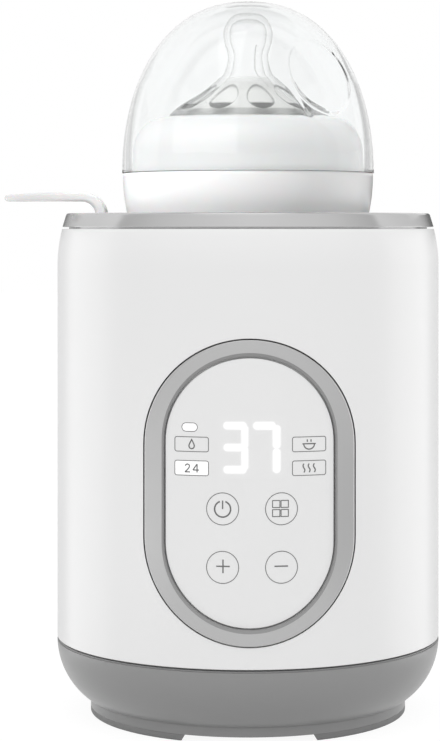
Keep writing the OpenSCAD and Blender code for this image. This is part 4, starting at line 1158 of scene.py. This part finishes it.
class WARMER_OT_cap(bpy.types.Operator):
    """Clear dome cap with a round finger dimple"""

    bl_idname = "warmer.cap"
    bl_label = "Dome cap"

    # Degrees round to the right, level over the ledge, and the powers of the dome's curve
    DIMPLE_TURN, DIMPLE_LIFT = 43.0, 27.8
    SIDE_POWER, RISE_POWER = 2.3, 2.1

    def execute(self, context):
        wide, high = reach("dome_cap"), top("dome_cap") - LEDGE
        # Rows and columns stand closer where the dimple is
        rise = np.concatenate((np.arange(14), 14 + np.arange(84) * 44 / 84, np.linspace(58, 90, 35)))
        rise = np.radians(rise)
        near, beside = math.radians(self.DIMPLE_TURN), math.radians(30)
        close = np.linspace(near - beside, near + beside, 180, endpoint=False)
        apart = np.linspace(near + beside, near - beside + 2 * math.pi, 120, endpoint=False)
        columns = np.concatenate((close, apart))
        side = wide * np.abs(np.cos(rise)) ** (2 / self.SIDE_POWER)
        side[-1] = 0
        shell = np.column_stack((side, LEDGE + high * np.sin(rise) ** (2 / self.RISE_POWER)))
        # The wall thins from the foot upward, and the crown is flat inside
        wall = np.interp(shell[:, 1] - LEDGE, (0, 26, high), (2.5, 1.0, 0.9))
        along = np.gradient(shell, axis=0)
        along /= np.linalg.norm(along, axis=1, keepdims=True)
        core = shell - np.column_stack((along[:, 1], -along[:, 0])) * wall[:, None]
        core[0, 1], core[-1, 0] = LEDGE, 0
        core = np.column_stack((np.maximum(core[:, 0], 0), np.clip(core[:, 1], LEDGE, LEDGE + high - 1.4)))
        outer, inner = revolve(shell, columns), revolve(core, columns)
        self.dimple(outer, inner, wide, high)
        rows = np.concatenate((inner[::-1], outer))
        fitted("dome_cap", skin(rows, wrap_rows=False), "cap_clear", "cap", "dome_cap", crease=50.0)
        return {"FINISHED"}

    def dimple(self, outer, inner, wide, high):
        """Sinks a flat dish with a soft edge into both faces of the wall."""
        lift, turn, tilt = self.DIMPLE_LIFT, math.radians(self.DIMPLE_TURN), math.radians(23)
        r = wide * (1 - (lift / high) ** self.RISE_POWER) ** (1 / self.SIDE_POWER)
        ahead = np.array((math.sin(turn), -math.cos(turn), 0))
        across = np.array((math.cos(turn), math.sin(turn), 0))
        middle = r * ahead + (0, 0, LEDGE + lift)
        way = math.cos(tilt) * ahead + (0, 0, math.sin(tilt))
        gap = outer - middle
        h = gap @ way
        q = np.linalg.norm(gap - h[..., None] * way, axis=-1)
        step = np.clip((12.2 - q) / 2.0, 0, 1)
        shelf = -2.3 - 0.5 * step * step * (3 - 2 * step)
        # The edge is crisp towards the front and soft towards the side
        soft = 0.4 + 0.3 * np.clip(gap @ across / 10, -1, 1)
        move = np.where(h > -14, -soft * np.logaddexp(0, (h - shelf) / soft), 0)
        outer += move[..., None] * way
        inner += move[..., None] * way


class WARMER_OT_inner(bpy.types.Operator):
    """Finishes of the solids that are shown as they are: tank, heater, boards, screws and leads"""

    bl_idname = "warmer.inner"
    bl_label = "Inner pieces"

    def execute(self, context):
        finishes = {
            "grey_abs": ["bottom_cover"],
            "tank_pp": ["water_tank"],
            "seal_silicone": ["rim_seal", "plate_seal"],
            "steel": [
                "base_screws", "heating_plate", "clamp_ring", "clamp_screws", "heater_strap", "strap_screws",
                "thermal_fuse", "power_board_screws", "control_board_screws",
            ],
            "heater_aluminium": ["ptc_heater"],
            "sensor_brass": ["thermistor", "touch_springs"],
            "board_laminate": ["power_board", "control_board"],
            "component_black": ["power_components", "display_module"],
            "led_white": ["indicator_leds"],
            "cable_pvc": ["ribbon_cable", "heater_leads", "sensor_lead"],
        }
        for name, nodes in finishes.items():
            for node in nodes:
                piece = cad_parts[node]
                if not piece.material_slots:
                    piece.data.materials.append(None)
                for slot in piece.material_slots:
                    slot.material = material(name)
        return {"FINISHED"}


class WARMER_OT_stage(bpy.types.Operator):
    """White floor and sky, soft lights and the camera"""

    bl_idname = "warmer.stage"
    bl_label = "Stage"

    def execute(self, context):
        studio = context.scene.studio_settings
        scene = context.scene
        scene.view_settings.view_transform = "Standard"
        # Reflections and what is seen through glass stay sharp
        scene.cycles.blur_glossy = 0.0
        mesh = bpy.data.meshes.new("floor")
        mesh.from_pydata([(-4, -4, 0), (4, -4, 0), (4, 4, 0), (-4, 4, 0)], [], [(0, 1, 2, 3)])
        mesh.materials.append(self.floor_finish())
        floor = bpy.data.objects.new("floor", mesh)
        scene.collection.objects.link(floor)
        self.sky(scene, studio)
        for side, name in ((-1, "left"), (1, "right")):
            self.card("bright_card_" + name, side, (70, 108), 110, (1, 152), 1.9)
            self.card("dim_card_" + name, side, (109, 140), 110, (1, 140), 0.65)
            self.card("cap_card_" + name, side, (95, 180), 100, (158, 320), 1.0)
            self.card("flag_" + name, side, (134, 153), 400, (95, 330), 0.58 - 0.06 * side, glass=True)
        self.card("bezel_card_left", -1, (45, 70), 250, (1, 60), 1.45)
        self.card("bezel_card_right", 1, (45, 70), 250, (1, 60), 0.7)
        square = {"shape": "RECTANGLE", "size": 0.8, "size_y": 0.8}
        self.lamp("top_box", "AREA", (-0.06, -0.45, 1.1), 0.1, studio.top_box, square)
        narrow = {"spot_size": math.radians(7.2), "spot_blend": 0.25, "shadow_soft_size": 0.012}
        snoot = self.lamp("snoot", "SPOT", (-0.49, -0.33, 0.617), 0.165, studio.snoot, narrow)
        snoot.visible_glossy = snoot.visible_transmission = False
        lens = bpy.data.cameras.new("camera")
        lens.lens = studio.lens
        # The picture's middle lies to the left of the lens's axis and below it
        lens.shift_x, lens.shift_y = -28.0 / 741, -0.1923
        lens.clip_start, lens.clip_end = 0.01, 20.0
        camera = bpy.data.objects.new("camera", lens)
        x, y = -studio.distance * math.sin(studio.turn), -studio.distance * math.cos(studio.turn)
        camera.location = (x, y, studio.height)
        camera.rotation_euler = (math.pi / 2, 0, -studio.turn)
        scene.collection.objects.link(camera)
        scene.camera = camera
        return {"FINISHED"}

    def bare(self, data):
        """The emptied node tree of a new material or world."""
        data.use_nodes = True
        data.node_tree.nodes.clear()
        return data.node_tree

    def floor_finish(self):
        """White paper: it shows plain white and takes a soft shadow from what stands on it."""
        made = bpy.data.materials.new("white_paper")
        tree = self.bare(made)
        paper = add(tree, "ShaderNodeBsdfDiffuse", {"Color": opaque(srgb("#dadada"))}).outputs[0]
        shaded = add(tree, "ShaderNodeBsdfDiffuse", {"Color": opaque([0.13] * 3)}).outputs[0]
        bright = add(tree, "ShaderNodeEmission", {"Color": WHITE, "Strength": 0.91}).outputs[0]
        shown = add(tree, "ShaderNodeAddShader", {0: shaded, 1: bright}).outputs[0]
        rays = add(tree, "ShaderNodeLightPath").outputs
        seen = calc(tree, "MAXIMUM", rays["Is Camera Ray"], rays["Is Glossy Ray"])
        seen = calc(tree, "MAXIMUM", seen, rays["Is Transmission Ray"])
        mix = add(tree, "ShaderNodeMixShader", {0: seen, 1: paper, 2: shown})
        add(tree, "ShaderNodeOutputMaterial", {0: mix.outputs[0]})
        return made

    def card(self, name, side, turn, r, levels, glow, glass=False):
        """A curved card between two angles and two levels, which only gloss or only glass sees."""
        a = np.radians(np.linspace(*turn, 25)) * side
        rows = np.array([np.column_stack((r * np.sin(a), -r * np.cos(a), np.full(25, z))) for z in levels])
        points, faces = skin(rows, wrap_rows=False, wrap_columns=False)
        mesh = bpy.data.meshes.new(name)
        mesh.from_pydata((points * MM).tolist(), [], faces)
        made = bpy.data.materials.new(name)
        tree = self.bare(made)
        light = add(tree, "ShaderNodeEmission", {"Color": WHITE, "Strength": glow})
        add(tree, "ShaderNodeOutputMaterial", {0: light.outputs[0]})
        mesh.materials.append(made)
        card = bpy.data.objects.new(name, mesh)
        card.visible_camera = card.visible_diffuse = card.visible_shadow = False
        card.visible_glossy, card.visible_transmission = not glass, glass
        bpy.context.scene.collection.objects.link(card)

    # Degrees round from the front, rising to the right, and the share of the soft boxes' brightness there
    SOFT_BOXES = (
        (-180, 0.1), (-163, 0.12), (-142, 0.4), (-129, 0.51), (-109, 0.56), (-93, 0.62), (-88, 0.3),
        (-76, 0.36), (-61, 0.445), (-44, 0.51), (-28, 0.545), (0, 0.6), (28, 0.555), (48, 0.515), (60, 0.475),
        (72, 0.4), (88, 0.3), (92, 0.6), (107, 0.53), (126, 0.45), (138, 0.35), (156, 0.05), (180, 0.05),
    )
    # The same for what is seen through clear plastic, of twice white: a bright box to the left
    FLAGS = ((-180, 0.5), (-78, 0.5), (-74, 1.0), (-12, 1.0), (-9, 0.3), (64, 0.3), (67, 0.5), (180, 0.5))

    def sky(self, scene, studio):
        """Even light for what is dull; the camera sees white, gloss and glass see soft boxes and gaps."""
        world = bpy.data.worlds.new("studio")
        tree = self.bare(world)
        way = add(tree, "ShaderNodeTexCoord").outputs["Generated"]
        way = add(tree, "ShaderNodeSeparateXYZ", {0: way}).outputs
        turn = calc(tree, "ARCTAN2", way["X"], calc(tree, "MULTIPLY", way["Y"], -1.0))
        share = ranged(tree, turn, -math.pi, math.pi)
        views = (
            ("Is Glossy Ray", self.ramp(tree, share, self.SOFT_BOXES), studio.boxes),
            ("Is Transmission Ray", self.ramp(tree, share, self.FLAGS), 2.0),
            ("Is Camera Ray", WHITE, 1.0),
        )
        rays = add(tree, "ShaderNodeLightPath").outputs
        seen = add(tree, "ShaderNodeBackground", {"Color": WHITE, "Strength": studio.sky}).outputs[0]
        for ray, colour, strength in views:
            view = add(tree, "ShaderNodeBackground", {"Color": colour, "Strength": strength}).outputs[0]
            seen = add(tree, "ShaderNodeMixShader", {0: rays[ray], 1: seen, 2: view}).outputs[0]
        add(tree, "ShaderNodeOutputWorld", {0: seen})
        scene.world = world

    def ramp(self, tree, share, stops):
        """Output of a ramp of greys over a whole turn."""
        node = add(tree, "ShaderNodeValToRGB", {0: share})
        while len(node.color_ramp.elements) < len(stops):
            node.color_ramp.elements.new(0.5)
        for element, (degrees, grey) in zip(node.color_ramp.elements, stops):
            element.position = (degrees + 180) / 360
            element.color = opaque([grey] * 3)
        return node.outputs[0]

    def lamp(self, name, kind, place, level, power, settings):
        """A light aimed at a level on the warmer's axis."""
        lamp = bpy.data.lights.new(name, kind)
        lamp.energy = power
        for key, value in settings.items():
            setattr(lamp, key, value)
        light = bpy.data.objects.new(name, lamp)
        light.location = place
        aim = light.location.copy()
        aim.z -= level
        light.rotation_euler = aim.to_track_quat("Z", "Y").to_euler()
        bpy.context.scene.collection.objects.link(light)
        return light


PIECES = (
    WARMER_OT_base, WARMER_OT_foot, WARMER_OT_housing, WARMER_OT_panel, WARMER_OT_marks, WARMER_OT_basket,
    WARMER_OT_bottle, WARMER_OT_teat, WARMER_OT_ring, WARMER_OT_cap, WARMER_OT_inner, WARMER_OT_stage,
)


class WARMER_PT_sidebar(bpy.types.Panel):
    """Sizes, colours and pieces of the bottle warmer"""

    bl_idname = "WARMER_PT_sidebar"
    bl_label = "Bottle warmer"
    bl_space_type = "VIEW_3D"
    bl_region_type = "UI"
    bl_category = "Warmer"

    def draw(self, context):
        for group in ("warmer_sizes", "warmer_colours", "studio_settings"):
            settings = getattr(context.scene, group)
            box = self.layout.box()
            for key in settings.__annotations__:
                box.prop(settings, key)
        for piece in PIECES:
            self.layout.operator(piece.bl_idname)


CLASSES = (WarmerSizes, WarmerColours, StudioSettings) + PIECES + (WARMER_PT_sidebar,)


def register():
    for made in CLASSES:
        bpy.utils.register_class(made)
    bpy.types.Scene.warmer_sizes = PointerProperty(type=WarmerSizes)
    bpy.types.Scene.warmer_colours = PointerProperty(type=WarmerColours)
    bpy.types.Scene.studio_settings = PointerProperty(type=StudioSettings)


def unregister():
    del bpy.types.Scene.studio_settings
    del bpy.types.Scene.warmer_colours
    del bpy.types.Scene.warmer_sizes
    for made in reversed(CLASSES):
        bpy.utils.unregister_class(made)


def main():
    register()
    bpy.ops.warmer.base()
    bpy.ops.warmer.foot()
    bpy.ops.warmer.housing()
    bpy.ops.warmer.panel()
    bpy.ops.warmer.marks()
    bpy.ops.warmer.basket()
    bpy.ops.warmer.bottle()
    bpy.ops.warmer.teat()
    bpy.ops.warmer.ring()
    bpy.ops.warmer.cap()
    bpy.ops.warmer.inner()
    bpy.ops.warmer.stage()


if __name__ == "__main__":
    main()
